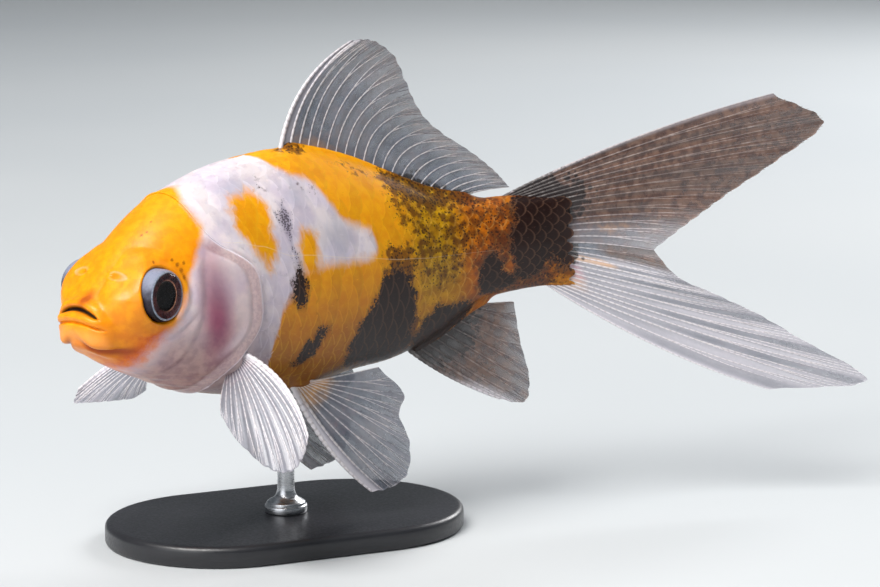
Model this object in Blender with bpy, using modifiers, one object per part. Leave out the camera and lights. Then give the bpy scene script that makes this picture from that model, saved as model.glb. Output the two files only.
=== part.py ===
"""A calico shubunkin goldfish, life size, as a still model on a plain display stand.

The fish swims in a gentle bend with its head towards -X and its back towards +Z. It is laid out
straight, in fish coordinates: a station in millimetres behind the tip of the snout, y millimetres
to the fish's right, and z millimetres above the axis of the body. place() then bends, tips and
lifts each point into the finished pose, in metres. The origin is the middle of the stand's
underside, straight below the rod.
"""
import math

import bmesh
import bpy
from mathutils import Vector

MM = 0.001
GAP = 0.35

# The pose: a stiff head, an arc along the trunk, and a straight tail
YAW_HEAD = math.radians(20.0)
YAW_TAIL = math.radians(-17.0)
BEND_START = 20.0
BEND_END = 84.0
NOSE_DOWN = math.radians(3.0)
ROD_STATION = 36.5
AXIS_HEIGHT = 38.4

# The lengths of the body, measured from the tip of the snout
GILL_END = 24.6
NAPE_END = 16.5
THROAT_END = 18.5
STALK_START = 60.0
BODY_LENGTH = 80.0

# Heights above the axis
SNOUT_LEVEL = -2.6
GILL_LEVEL = -2.5

# The gill cover: a rounded plate let into the side of the head
COVER_STATION = 19.6
COVER_HEIGHT = -3.0
COVER_HALF_LENGTH = 5.6
COVER_HALF_HEIGHT = 9.2
COVER_DEPTH = 1.5
COVER_REAR_STRETCH = 1.6

# The eye: a button that stands out of the side of the head
EYE_STATION = 8.0
EYE_HEIGHT = 1.4
EYE_RADIUS = 3.55
EYE_INNER = 4.4
EYE_RIM = 8.9
EYE_DOME = 1.55

# The stand
BASE_LENGTH = 52.0
BASE_WIDTH = 33.0
BASE_HEIGHT = 3.0
BASE_EDGE = 0.8
ROD_RADIUS = 1.2
COLLAR_RADIUS = 3.0
COLLAR_HEIGHT = 2.2

# How finely the solids are faceted
AROUND = 32
EYE_SPOKES = 22
COVER_SPOKES = 24
ROD_STEPS = 20
CORNER_STEPS = 16

FIN_THICKNESS = 0.6
LOWER_FULLNESS = 2.1
MERGE = 0.01 * MM


# ---------------------------------------------------------------- the shape of the body

def smooth_curve(*stations):
    """A smooth height over the length, through (station, height) pairs, blunt at the snout."""
    places = [math.sqrt(station) for station, _ in stations]
    heights = [height for _, height in stations]
    last = len(places) - 1
    slopes = []
    for k in range(last + 1):
        before = max(k - 1, 0)
        after = min(k + 1, last)
        slopes.append((heights[after] - heights[before]) / (places[after] - places[before]))

    def height_at(station):
        here = min(math.sqrt(max(station, 0.0)), places[-1])
        k = max(i for i in range(last) if places[i] <= here)
        span = places[k + 1] - places[k]
        t = (here - places[k]) / span
        rise = heights[k + 1] - heights[k]
        leaving = slopes[k] * span - rise
        arriving = rise - slopes[k + 1] * span
        return heights[k] + t * rise + t * (1.0 - t) * ((1.0 - t) * leaving + t * arriving)

    return height_at


back_height = smooth_curve((0.0, SNOUT_LEVEL), (0.4, -0.2), (1.6, 1.5), (4.0, 4.1), (8.0, 7.9),
                           (13.0, 11.4), (18.0, 13.7), (25.0, 15.6), (31.5, 16.3), (37.0, 16.4),
                           (42.0, 15.2), (48.0, 13.1), (54.0, 10.2), (60.0, 7.4), (66.0, 5.9),
                           (73.0, 5.7), (80.0, 4.6))
belly_height = smooth_curve((0.0, SNOUT_LEVEL), (0.4, -4.9), (1.4, -6.3), (4.5, -8.6), (9.0, -11.0),
                            (15.0, -13.7), (21.0, -15.9), (29.0, -17.5), (37.0, -17.9),
                            (46.0, -16.9), (53.0, -16.2), (60.0, -13.8), (67.0, -9.8),
                            (73.0, -8.7), (80.0, -8.4))
half_width = smooth_curve((0.0, 0.0), (0.4, 3.2), (1.6, 4.8), (4.0, 6.3), (8.0, 7.8), (13.0, 8.9),
                          (20.0, 9.9), (27.0, 10.3), (35.0, 10.2), (43.0, 9.2), (52.0, 7.2),
                          (60.0, 5.2), (67.0, 3.9), (74.0, 2.9), (80.0, 1.7))
widest_height = smooth_curve((0.0, SNOUT_LEVEL), (4.0, -2.8), (13.0, -3.0), (27.0, -2.8),
                             (43.0, -2.4), (60.0, -1.8), (80.0, -1.8))
upper_fullness = smooth_curve((0.0, 2.2), (13.0, 2.2), (27.0, 2.0), (43.0, 1.9), (80.0, 2.0))


def section_point(station, angle):
    """The body's surface at an angle round its section: 0 on the back, pi/2 on the right side."""
    middle = widest_height(station)
    up = math.cos(angle)
    if up >= 0.0:
        reach = back_height(station) - middle
        fullness = upper_fullness(station)
    else:
        reach = middle - belly_height(station)
        fullness = LOWER_FULLNESS
    rise = math.copysign(abs(up) ** (2.0 / fullness), up)
    return (station, half_width(station) * math.sin(angle), middle + reach * rise)


def side_offset(station, z):
    """Half the body's width at a station and a height."""
    middle = widest_height(station)
    if z >= middle:
        level = (z - middle) / (back_height(station) - middle)
        fullness = upper_fullness(station)
    else:
        level = (middle - z) / (middle - belly_height(station))
        fullness = LOWER_FULLNESS
    return half_width(station) * math.sqrt(1.0 - min(level, 1.0) ** fullness)


def head_end(angle):
    """Where the head stops: behind the gill covers at the sides, sooner at the nape and throat."""
    z = section_point(0.5 * (NAPE_END + GILL_END), angle)[2]
    end = NAPE_END if z > GILL_LEVEL else THROAT_END
    away = (z - GILL_LEVEL) / (COVER_HALF_HEIGHT - 0.5)
    return end + (GILL_END - end) / (1.0 + away ** 4)


# ---------------------------------------------------------------- from straight to posed

def centreline(station):
    """The heading of the body's axis at a station, and its place in plan, before it is tipped."""
    bend_rate = (YAW_TAIL - YAW_HEAD) / (BEND_END - BEND_START)
    on_arc = min(max(station, BEND_START), BEND_END)
    yaw = YAW_HEAD + bend_rate * (on_arc - BEND_START)
    x = BEND_START * math.cos(YAW_HEAD) + (math.sin(yaw) - math.sin(YAW_HEAD)) / bend_rate
    y = BEND_START * math.sin(YAW_HEAD) + (math.cos(YAW_HEAD) - math.cos(yaw)) / bend_rate
    beyond = station - on_arc
    return yaw, x + beyond * math.cos(yaw), y + beyond * math.sin(yaw)


def place(point):
    """Fish coordinates in millimetres to the posed model in metres."""
    station, y, z = point
    yaw, x_axis, y_axis = centreline(station)
    _, x_rod, y_rod = centreline(ROD_STATION)
    x_level = x_axis - x_rod - y * math.sin(yaw)
    y_level = y_axis - y_rod + y * math.cos(yaw)
    x = x_level * math.cos(NOSE_DOWN) - z * math.sin(NOSE_DOWN)
    z_tipped = x_level * math.sin(NOSE_DOWN) + z * math.cos(NOSE_DOWN)
    return Vector((x, y_level, z_tipped + AXIS_HEIGHT)) * MM


# ---------------------------------------------------------------- objects and materials

def empty_scene():
    """Removes everything that a new Blender file holds."""
    for thing in list(bpy.data.objects):
        bpy.data.objects.remove(thing, do_unlink=True)


def collection(name):
    """A new collection in the scene."""
    made = bpy.data.collections.new(name)
    bpy.context.scene.collection.children.link(made)
    return made


def material(name, colour, roughness, metallic=0.0):
    """A plain finish in the sub-part's own colour."""
    made = bpy.data.materials.new(name)
    made.use_nodes = True
    shader = made.node_tree.nodes["Principled BSDF"]
    shader.inputs["Base Color"].default_value = (*colour, 1.0)
    shader.inputs["Roughness"].default_value = roughness
    shader.inputs["Metallic"].default_value = metallic
    made.diffuse_color = (*colour, 1.0)
    return made


def mesh_object(name, bm, group, finish=None):
    """An object of flat triangles that face outwards; without a finish it is a cutter."""
    bmesh.ops.recalc_face_normals(bm, faces=bm.faces)
    bmesh.ops.triangulate(bm, faces=bm.faces)
    mesh = bpy.data.meshes.new(name)
    bm.to_mesh(mesh)
    bm.free()
    made = bpy.data.objects.new(name, mesh)
    group.objects.link(made)
    if finish is None:
        made.hide_render = True
        made.display_type = "WIRE"
    else:
        mesh.materials.append(finish)
        mesh.shade_smooth()
        mesh.set_sharp_from_angle(angle=math.radians(40.0))
    return made


def boolean(target, cutter, operation):
    """Cuts the target with a cutter, or keeps only what they share."""
    cut = target.modifiers.new(f"{operation.lower()}_{cutter.name}", "BOOLEAN")
    cut.operation = operation
    cut.solver = "EXACT"
    cut.object = cutter


def new_ring(bm, points):
    """A ring of vertices at fish coordinates."""
    return [bm.verts.new(place(point)) for point in points]


def join_rings(bm, rings):
    """Faces between each ring and the next."""
    for ring, following in zip(rings, rings[1:]):
        for k in range(len(ring)):
            after = (k + 1) % len(ring)
            bm.faces.new((ring[k], ring[after], following[after], following[k]))


def close_to_point(bm, ring, point):
    """Closes an end with a fan to one point."""
    tip = bm.verts.new(place(point))
    for k in range(len(ring)):
        bm.faces.new((ring[k], ring[(k + 1) % len(ring)], tip))


def close_across(bm, ring):
    """Closes an end with strips that run straight across from the left side to the right."""
    half = len(ring) // 2
    bm.faces.new((ring[0], ring[1], ring[-1]))
    for k in range(1, half - 1):
        bm.faces.new((ring[k], ring[k + 1], ring[-k - 1], ring[-k]))
    bm.faces.new((ring[half - 1], ring[half], ring[half + 1]))


def fractions(count, crowding=1.0):
    """Steps from 0 to 1, crowded towards 0."""
    return [(k / count) ** crowding for k in range(count + 1)]


# ---------------------------------------------------------------- the body's solids

def body_rings(bm, steps, station_of):
    """Rings of the body's surface, whose stations may differ with the angle."""
    rings = []
    for step in steps:
        points = []
        for k in range(AROUND):
            angle = 2.0 * math.pi * k / AROUND
            points.append(section_point(station_of(step, angle), angle))
        rings.append(new_ring(bm, points))
    join_rings(bm, rings)
    return rings


def head_bmesh():
    """The whole head, before its jaws, eyes and gill covers are cut from it."""
    bm = bmesh.new()
    rings = body_rings(bm, fractions(14, 1.7)[1:], lambda step, angle: step * head_end(angle))
    close_to_point(bm, rings[0], (0.0, 0.0, SNOUT_LEVEL))
    close_across(bm, rings[-1])
    return bm


def trunk_bmesh():
    """The trunk, from behind the gill covers to the tail stalk."""
    def station_of(step, angle):
        start = head_end(angle) + GAP
        return start + step * (STALK_START - start)

    bm = bmesh.new()
    rings = body_rings(bm, fractions(13), station_of)
    close_across(bm, rings[0])
    close_across(bm, rings[-1])
    return bm


def stalk_bmesh():
    """The tail stalk, from the trunk to the last scales."""
    start = STALK_START + GAP
    bm = bmesh.new()
    rings = body_rings(bm, fractions(8), lambda step, _: start + step * (BODY_LENGTH - start))
    close_across(bm, rings[0])
    close_across(bm, rings[-1])
    return bm


# ---------------------------------------------------------------- jaws

def prism_bmesh(outline):
    """A block right across the fish, with the outline given as (station, height) corners."""
    bm = bmesh.new()
    sides = [new_ring(bm, [(station, y, z) for station, z in outline])
             for y in (-2.0 * GILL_END, 2.0 * GILL_END)]
    join_rings(bm, sides)
    for side in sides:
        bm.faces.new(side)
    return bm


def mouth_outlines():
    """The blocks of the lower jaw and upper lip, and the slightly larger holes for them."""
    front = -3.0
    chin = -14.0
    jaw_hinge = 7.0
    lip_end = 3.0
    gape_front = -4.2
    gape_rear = -5.4
    jaw_dip = -7.6
    crease = -0.6
    jaw = [(front, gape_front), (lip_end, gape_rear), (jaw_hinge, jaw_dip), (jaw_hinge, chin),
           (front, chin)]
    lip = [(front, crease), (lip_end - 0.4, crease - 0.8), (lip_end, gape_rear + GAP),
           (front, gape_front + GAP)]
    jaw_hole = [(front - 1.0, gape_front + 0.5 * GAP), (lip_end + GAP, gape_rear),
                (jaw_hinge + GAP, jaw_dip + 0.5 * GAP), (jaw_hinge + GAP, chin - 1.0),
                (front - 1.0, chin - 1.0)]
    lip_hole = [(front - 1.0, crease + GAP), (lip_end, crease - 0.8 + GAP),
                (lip_end + GAP, gape_rear - GAP), (front - 1.0, gape_front - 0.5 * GAP)]
    return {"lower_jaw": (jaw, jaw_hole), "upper_lip": (lip, lip_hole)}


def cut_mouth(head, parts, cutters):
    """Parts the lower jaw and the upper lip from the head."""
    outlines = mouth_outlines()
    for part in parts:
        kept, hole = outlines[part.name]
        boolean(part, mesh_object(f"{part.name}_block", prism_bmesh(kept), cutters), "INTERSECT")
        boolean(head, mesh_object(f"{part.name}_hole", prism_bmesh(hole), cutters), "DIFFERENCE")


# ---------------------------------------------------------------- gill covers

def cover_point(side, hoop, angle, grow, offset):
    """A point of the gill cover's block: from its middle, hoop 0, to its edge, hoop 1."""
    along = math.copysign(abs(math.cos(angle)) ** 0.8, math.cos(angle))
    stretch = COVER_REAR_STRETCH if along > 0.0 else 1.0
    station = COVER_STATION + hoop * along * stretch * (COVER_HALF_LENGTH + grow)
    z = COVER_HEIGHT + hoop * math.sin(angle) * (COVER_HALF_HEIGHT + grow)
    return (station, side * (side_offset(min(station, GILL_END), z) + offset), z)


def cover_bmesh(side, grow):
    """The block that a gill cover is cut with: a rounded plate through the body's surface."""
    bm = bmesh.new()
    edges = []
    for offset in (COVER_DEPTH, -COVER_DEPTH - grow):
        rings = []
        for hoop in (0.45, 0.8, 1.0):
            turns = [2.0 * math.pi * k / COVER_SPOKES for k in range(COVER_SPOKES)]
            rings.append(new_ring(bm, [cover_point(side, hoop, turn, grow, offset)
                                       for turn in turns]))
        join_rings(bm, rings)
        close_to_point(bm, rings[0], cover_point(side, 0.0, 0.0, grow, offset))
        edges.append(rings[-1])
    join_rings(bm, edges)
    return bm


# ---------------------------------------------------------------- eyes

def eye_bmesh(side, grow):
    """A button of an eye, turned about an axis that points straight out of the head."""
    inner = EYE_INNER - grow
    outer = EYE_RIM + EYE_DOME
    profile = [(0.55, inner), (0.9, inner + 1.2), (1.0, EYE_RIM - 1.2), (1.0, EYE_RIM),
               (0.9, EYE_RIM + 0.45 * EYE_DOME), (0.62, EYE_RIM + 0.78 * EYE_DOME),
               (0.3, EYE_RIM + 0.94 * EYE_DOME)]
    radius = EYE_RADIUS + grow
    bm = bmesh.new()
    rings = []
    for reach, y in profile:
        points = []
        for k in range(EYE_SPOKES):
            angle = 2.0 * math.pi * k / EYE_SPOKES
            points.append((EYE_STATION + radius * reach * math.cos(angle), side * y,
                           EYE_HEIGHT + radius * reach * math.sin(angle)))
        rings.append(new_ring(bm, points))
    join_rings(bm, rings)
    close_to_point(bm, rings[0], (EYE_STATION, side * inner, EYE_HEIGHT))
    close_to_point(bm, rings[-1], (EYE_STATION, side * outer, EYE_HEIGHT))
    return bm


# ---------------------------------------------------------------- fins

def spline(points, fraction):
    """A point on a smooth curve through the given points, evenly shared from 0 to 1."""
    spans = len(points) - 1
    k = min(int(fraction * spans), spans - 1)
    t = fraction * spans - k
    start = Vector(points[k])
    end = Vector(points[k + 1])
    before = Vector(points[k - 1]) if k > 0 else 2.0 * start - end
    after = Vector(points[k + 2]) if k + 2 <= spans else 2.0 * end - start
    rise = end - start
    leaving = 0.5 * (end - before) - rise
    arriving = rise - 0.5 * (after - start)
    return start + t * rise + t * (1.0 - t) * ((1.0 - t) * leaving + t * arriving)


def fin_object(name, group, finish, root, tips, bows, grid):
    """A fin as a sheet of bowed rays from its root to its tips, thickened both ways."""
    rays, steps = grid
    bm = bmesh.new()
    rows = []
    for i in range(rays + 1):
        foot = spline(root, i / rays)
        tip = spline(tips, i / rays)
        bow = spline(bows, i / rays)
        rows.append(new_ring(bm, [foot.lerp(tip, out) + bow * (4.0 * out * (1.0 - out))
                                  for out in fractions(steps)]))
    for row, following in zip(rows, rows[1:]):
        for j in range(steps):
            bm.faces.new((row[j], row[j + 1], following[j + 1], following[j]))
    made = mesh_object(name, bm, group, finish)
    shell = made.modifiers.new("thickness", "SOLIDIFY")
    shell.thickness = FIN_THICKNESS * MM
    shell.offset = 0.0


def ridge_root(ridge, lift, start, end, count):
    """Points just clear of the back's or the belly's ridge, from one station to another."""
    stations = [start + (end - start) * step for step in fractions(count)]
    return [(station, 0.0, ridge(station) + lift) for station in stations]


def side_root(side, *spots):
    """Points just off the body's side, at (station, height) spots."""
    clearance = 0.5 * FIN_THICKNESS + GAP + 0.1
    return [(station, side * (side_offset(station, z) + clearance), z) for station, z in spots]


def to_side(side, *points):
    """Fish coordinates with their sideways part turned to the given side."""
    return [(station, side * y, z) for station, y, z in points]


def make_median_fins(group, clear, smoky):
    """The fins on the middle line: dorsal, both lobes of the tail fin, and anal."""
    fin_object("dorsal_fin", group, clear, ridge_root(back_height, GAP, 37.2, 71.5, 8),
               [(48.5, 0.0, 29.4), (53.4, -0.4, 29.3), (56.8, -0.8, 25.6), (57.8, -0.8, 21.6),
                (60.6, -0.5, 16.4), (66.4, -0.3, 12.5), (71.7, 0.0, 6.9)],
               [(-1.0, 0.5, 1.4), (-1.0, 0.6, 1.1), (-0.8, 0.4, 0.8), (0.0, 0.0, 0.0)], (16, 7))
    fin_object("caudal_fin_upper", group, smoky,
               [(73.4, 0.0, 6.2), (77.5, 0.0, 5.7), (80.5, 0.0, 4.0), (80.6, 0.0, 1.0),
                (80.6, 0.0, -1.9)],
               [(112.0, 0.0, 17.4), (119.3, 0.0, 12.8), (112.0, 0.0, 7.4), (103.9, 0.0, 2.6),
                (98.3, 0.0, -0.9), (93.3, 0.0, -3.9)],
               [(0.0, 0.0, 1.0), (0.0, 0.6, 0.6), (0.0, 0.6, 0.2)], (14, 9))
    fin_object("caudal_fin_lower", group, clear,
               [(80.6, 0.0, -2.4), (80.6, 0.0, -5.0), (80.4, 0.0, -7.8), (78.6, 0.0, -9.1)],
               [(93.3, 0.0, -4.7), (97.5, 0.0, -8.8), (105.0, 0.0, -12.9), (114.0, 0.0, -18.6),
                (124.8, -0.6, -26.2), (110.0, 0.0, -26.3)],
               [(0.0, 0.6, 0.0), (0.0, 0.6, -0.4), (0.0, 0.0, -1.4)], (14, 9))
    fin_object("anal_fin", group, smoky, ridge_root(belly_height, -GAP, 56.3, 67.5, 4),
               [(69.6, 0.0, -24.3), (73.4, 0.0, -25.1), (74.1, 0.0, -21.5), (73.0, 0.0, -16.0),
                (72.3, 0.0, -10.2)],
               [(-0.4, 0.3, -0.4), (0.2, 0.4, 0.0), (0.0, 0.0, 0.0)], (8, 5))


def make_paired_fins(group, finish):
    """The pectoral and pelvic fins. The right pectoral fin is swept flatter than the left."""
    pectoral_tips = {
        "left": [(20.4, 21.6, -18.8), (18.7, 22.4, -21.0), (16.9, 21.4, -22.9), (15.4, 18.4, -22.2),
                 (14.2, 14.6, -19.2), (15.2, 10.4, -16.2)],
        "right": [(18.4, 23.2, -17.0), (17.8, 23.8, -18.6), (18.2, 22.0, -18.4), (19.0, 18.0, -17.8),
                  (19.6, 14.0, -17.2), (19.4, 10.6, -15.4)]}
    for side, word in ((-1, "left"), (1, "right")):
        fin_object(f"pectoral_fin_{word}", group, finish,
                   side_root(side, (21.6, -9.4), (20.8, -11.0), (19.2, -12.6)),
                   to_side(side, *pectoral_tips[word]),
                   to_side(side, (1.4, 0.6, 0.8), (0.2, 0.4, 0.4), (-0.6, 0.2, 0.0)), (10, 6))
        fin_object(f"pelvic_fin_{word}", group, finish,
                   side_root(side, (34.4, -17.2), (36.2, -16.7), (38.0, -15.9)),
                   to_side(side, (44.0, 8.5, -32.6), (47.2, 9.0, -32.5), (50.0, 9.6, -30.4),
                           (50.5, 9.2, -26.2), (49.4, 8.6, -22.4), (51.0, 7.6, -19.6),
                           (47.4, 6.8, -15.4)),
                   to_side(side, (-1.2, 0.3, -0.8), (0.0, 0.5, 0.0), (0.3, 0.4, 0.0)), (12, 6))


# ---------------------------------------------------------------- the stand

def base_outline():
    """The corners of the base's outline: two half circles joined by straight sides."""
    corner = 0.5 * BASE_WIDTH
    straight = 0.5 * BASE_LENGTH - corner
    points = []
    for end, start in ((1, -90.0), (-1, 90.0)):
        for k in range(CORNER_STEPS + 1):
            angle = math.radians(start + 180.0 * k / CORNER_STEPS)
            points.append((end * straight + corner * math.cos(angle), corner * math.sin(angle)))
    return points


def make_base(group, finish):
    """The flat base: its outline, extruded, with softened edges."""
    points = base_outline()
    curve = bpy.data.curves.new("stand_base_outline", "CURVE")
    curve.dimensions = "2D"
    curve.fill_mode = "BOTH"
    curve.extrude = 0.5 * BASE_HEIGHT * MM
    line = curve.splines.new("POLY")
    line.points.add(len(points) - 1)
    for point, (x, y) in zip(line.points, points):
        point.co = (x * MM, y * MM, 0.0, 1.0)
    line.use_cyclic_u = True
    guide = bpy.data.objects.new("stand_base_guide", curve)
    group.objects.link(guide)
    guide.location.z = 0.5 * BASE_HEIGHT * MM
    bpy.context.view_layer.update()
    evaluated = guide.evaluated_get(bpy.context.evaluated_depsgraph_get())
    bm = bmesh.new()
    bm.from_mesh(bpy.data.meshes.new_from_object(evaluated))
    bmesh.ops.transform(bm, matrix=guide.matrix_world, verts=bm.verts)
    bmesh.ops.remove_doubles(bm, verts=bm.verts, dist=MERGE)
    bpy.data.objects.remove(guide, do_unlink=True)
    base = mesh_object("stand_base", bm, group, finish)
    bevel = base.modifiers.new("edge", "BEVEL")
    bevel.width = BASE_EDGE * MM
    bevel.segments = 2
    bevel.limit_method = "ANGLE"


def make_rod(group, finish):
    """The rod and its collar, turned about the vertical, from the base to just under the belly."""
    foot = BASE_HEIGHT + GAP
    top = AXIS_HEIGHT + belly_height(ROD_STATION) - GAP
    profile = [(0.0, top), (ROD_RADIUS, top), (ROD_RADIUS, foot + COLLAR_HEIGHT),
               (COLLAR_RADIUS, foot + 0.6 * COLLAR_HEIGHT), (COLLAR_RADIUS, foot), (0.0, foot)]
    mesh = bpy.data.meshes.new("stand_rod")
    mesh.from_pydata([(r * MM, 0.0, z * MM) for r, z in profile],
                     [(k, k + 1) for k in range(len(profile) - 1)], [])
    mesh.materials.append(finish)
    rod = bpy.data.objects.new("stand_rod", mesh)
    group.objects.link(rod)
    turn = rod.modifiers.new("turn", "SCREW")
    turn.steps = ROD_STEPS
    turn.render_steps = ROD_STEPS
    turn.use_merge_vertices = True
    turn.merge_threshold = MERGE


# ---------------------------------------------------------------- putting it together

def main():
    empty_scene()
    fish = collection("shubunkin_goldfish")
    cutters = collection("cutters")
    orange = material("orange_skin", (0.85, 0.42, 0.06), 0.35)
    lip = material("pale_orange_lip", (0.80, 0.42, 0.16), 0.35)
    pearl = material("pearl_gill_cover", (0.62, 0.48, 0.50), 0.3)
    calico = material("calico_scales", (0.66, 0.44, 0.16), 0.35)
    dark_calico = material("dark_calico_scales", (0.25, 0.14, 0.07), 0.35)
    eye_black = material("eye_black", (0.02, 0.015, 0.02), 0.05)
    clear = material("clear_fin", (0.66, 0.66, 0.70), 0.3)
    smoky = material("smoky_fin", (0.36, 0.30, 0.27), 0.3)
    base_black = material("black_base", (0.05, 0.05, 0.055), 0.45)
    steel = material("steel_rod", (0.62, 0.63, 0.64), 0.3, 1.0)

    head = mesh_object("head", head_bmesh(), fish, orange)
    jaws = [mesh_object(name, head_bmesh(), fish, lip) for name in ("lower_jaw", "upper_lip")]
    mesh_object("trunk", trunk_bmesh(), fish, calico)
    mesh_object("tail_stalk", stalk_bmesh(), fish, dark_calico)
    cut_mouth(head, jaws, cutters)
    for side, word in ((-1, "left"), (1, "right")):
        cover = mesh_object(f"gill_cover_{word}", head_bmesh(), fish, pearl)
        block = mesh_object(f"gill_block_{word}", cover_bmesh(side, 0.0), cutters)
        boolean(cover, block, "INTERSECT")
        hole = mesh_object(f"gill_hole_{word}", cover_bmesh(side, GAP), cutters)
        boolean(head, hole, "DIFFERENCE")
        mesh_object(f"eye_{word}", eye_bmesh(side, 0.0), fish, eye_black)
        socket = mesh_object(f"eye_socket_{word}", eye_bmesh(side, GAP), cutters)
        boolean(head, socket, "DIFFERENCE")
    make_median_fins(fish, clear, smoky)
    make_paired_fins(fish, clear)
    make_base(fish, base_black)
    make_rod(fish, steel)


main()
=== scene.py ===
"""The looks of a life-size calico shubunkin goldfish, held by a plain display stand.

Everything that lives is laid out in the same fish coordinates as the solids: a station in
millimetres behind the tip of the snout, y millimetres to the fish's right, and z millimetres above
the axis of the body. A place on the skin is a station and an angle round the body's section, 0 on
the back and pi/2 on the right side. place() bends, tips and lifts points into the finished pose.
"""

import math

import bpy
import numpy as np
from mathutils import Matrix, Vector


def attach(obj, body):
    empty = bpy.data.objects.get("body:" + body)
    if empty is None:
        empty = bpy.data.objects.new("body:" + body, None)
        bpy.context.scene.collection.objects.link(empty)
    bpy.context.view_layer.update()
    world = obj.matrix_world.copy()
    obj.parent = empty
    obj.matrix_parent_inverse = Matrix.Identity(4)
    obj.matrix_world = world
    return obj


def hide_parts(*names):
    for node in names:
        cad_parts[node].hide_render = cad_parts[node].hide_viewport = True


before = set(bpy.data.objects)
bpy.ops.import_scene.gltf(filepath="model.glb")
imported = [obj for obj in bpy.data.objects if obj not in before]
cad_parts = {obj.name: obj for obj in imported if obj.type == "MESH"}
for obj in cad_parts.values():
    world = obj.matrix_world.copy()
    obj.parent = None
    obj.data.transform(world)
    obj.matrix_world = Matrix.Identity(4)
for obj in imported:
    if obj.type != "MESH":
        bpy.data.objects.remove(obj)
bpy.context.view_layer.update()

MM = 0.001
BODY = "root"
rng = np.random.default_rng(7)

# The pose and the lengths of the body, as in the solids
YAW_HEAD = math.radians(20.0)
YAW_TAIL = math.radians(-17.0)
BEND_START = 20.0
BEND_END = 84.0
NOSE_DOWN = math.radians(3.0)
ROD_STATION = 36.5
AXIS_HEIGHT = 38.4
SNOUT_LEVEL = -2.6
LOWER_FULLNESS = 2.1
EYE_STATION = 8.32
EYE_HEIGHT = 1.06
EYE_LEAN = math.radians(10.0)
EYE_PIVOT = 7.4
EYE_SUNK = 0.5
EYE_SIZE = 0.94
NOSTRIL_STATION, NOSTRIL_SIDE, NOSTRIL_HEIGHT = 4.35, 2.85, 3.95

# The skin lies this far inside the solids, on the head and under the scales
HEAD_INSET = 0.08
SCALE_INSET = 0.34

# The edge of the gill cover
COVER_REAR = 24.3
COVER_LEVEL = -1.3
COVER_TOP_REACH = 6.6
COVER_LOW_REACH = 7.6
NAPE_STATION = 16.0
THROAT_STATION = 17.5

# Where the tail stalk's even rings and the skin end, and the end of the map of lengths
STALK_END = 78.8
SKIN_END = 80.2
MAP_END = 84.0


# ---- small helpers

def unit(value):
    """The value held between 0 and 1."""
    return np.clip(value, 0.0, 1.0)


def ramp(value, low, high):
    """0 at low, 1 at high, and smooth between."""
    t = unit((value - low) / (high - low))
    return t * t * (3.0 - 2.0 * t)


def fall(value, low, high):
    """1 at low, 0 at high, and smooth between."""
    return 1.0 - ramp(value, low, high)


def hump(value, width):
    """A bell, 1 at 0 and about a third one width away from it."""
    return np.exp(-(value / width) ** 2)


def direction(vectors):
    """The vectors at a length of 1."""
    return vectors / np.maximum(np.linalg.norm(vectors, axis=-1, keepdims=True), 1e-9)


def smooth_curve(*stations):
    """A smooth height over the length, through (station, height) pairs, blunt at the snout."""
    places = np.sqrt([station for station, _ in stations])
    heights = np.array([height for _, height in stations])
    last = len(places) - 1
    before = np.maximum(np.arange(last + 1) - 1, 0)
    after = np.minimum(np.arange(last + 1) + 1, last)
    slopes = (heights[after] - heights[before]) / (places[after] - places[before])

    def height_at(station):
        here = np.minimum(np.sqrt(np.maximum(station, 0.0)), places[-1])
        k = np.clip(np.searchsorted(places, here, side="right") - 1, 0, last - 1)
        span = places[k + 1] - places[k]
        t = (here - places[k]) / span
        rise = heights[k + 1] - heights[k]
        leaving = slopes[k] * span - rise
        arriving = rise - slopes[k + 1] * span
        return heights[k] + t * rise + t * (1.0 - t) * ((1.0 - t) * leaving + t * arriving)

    return height_at


def through(*pairs):
    """A gently smoothed curve through (place, value) pairs."""
    places = np.array([place_ for place_, _ in pairs], float)
    values = np.array([value for _, value in pairs], float)

    def value_at(where):
        k = np.clip(np.searchsorted(places, where, side="right") - 1, 0, len(places) - 2)
        t = unit((where - places[k]) / (places[k + 1] - places[k]))
        eased = 0.5 * t + 0.5 * t * t * (3.0 - 2.0 * t)
        return values[k] + eased * (values[k + 1] - values[k])

    return value_at


# ---- the shape of the body

back_height = smooth_curve(
    (0.0, SNOUT_LEVEL), (0.4, -0.2), (1.6, 1.5), (4.0, 4.1), (8.0, 7.9), (13.0, 11.4),
    (18.0, 13.7), (25.0, 15.6), (31.5, 16.3), (37.0, 16.4), (42.0, 15.2), (48.0, 13.1),
    (54.0, 10.2), (60.0, 7.4), (66.0, 5.9), (73.0, 5.7), (80.0, 4.6))
belly_height = smooth_curve(
    (0.0, SNOUT_LEVEL), (0.4, -4.9), (1.4, -6.3), (4.5, -8.6), (9.0, -11.0), (15.0, -13.7),
    (21.0, -15.9), (29.0, -17.5), (37.0, -17.9), (46.0, -16.9), (53.0, -16.2), (60.0, -13.8),
    (67.0, -9.8), (73.0, -8.7), (80.0, -8.4))
half_width = smooth_curve(
    (0.0, 0.0), (0.4, 3.2), (1.6, 4.8), (4.0, 6.3), (8.0, 7.8), (13.0, 8.9), (20.0, 9.9),
    (27.0, 10.3), (35.0, 10.2), (43.0, 9.2), (52.0, 7.2), (60.0, 5.2), (67.0, 3.9), (74.0, 2.9),
    (80.0, 1.7))
widest_height = smooth_curve(
    (0.0, SNOUT_LEVEL), (4.0, -2.8), (13.0, -3.0), (27.0, -2.8), (43.0, -2.4), (60.0, -1.8),
    (80.0, -1.8))
upper_fullness = smooth_curve((0.0, 2.2), (13.0, 2.2), (27.0, 2.0), (43.0, 1.9), (80.0, 2.0))


def section(station, upper):
    """The height of the widest place, and the section's reach and fullness above or below it."""
    middle = widest_height(station)
    reach = np.where(upper, back_height(station) - middle, middle - belly_height(station))
    return middle, reach, np.where(upper, upper_fullness(station), LOWER_FULLNESS)


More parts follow.
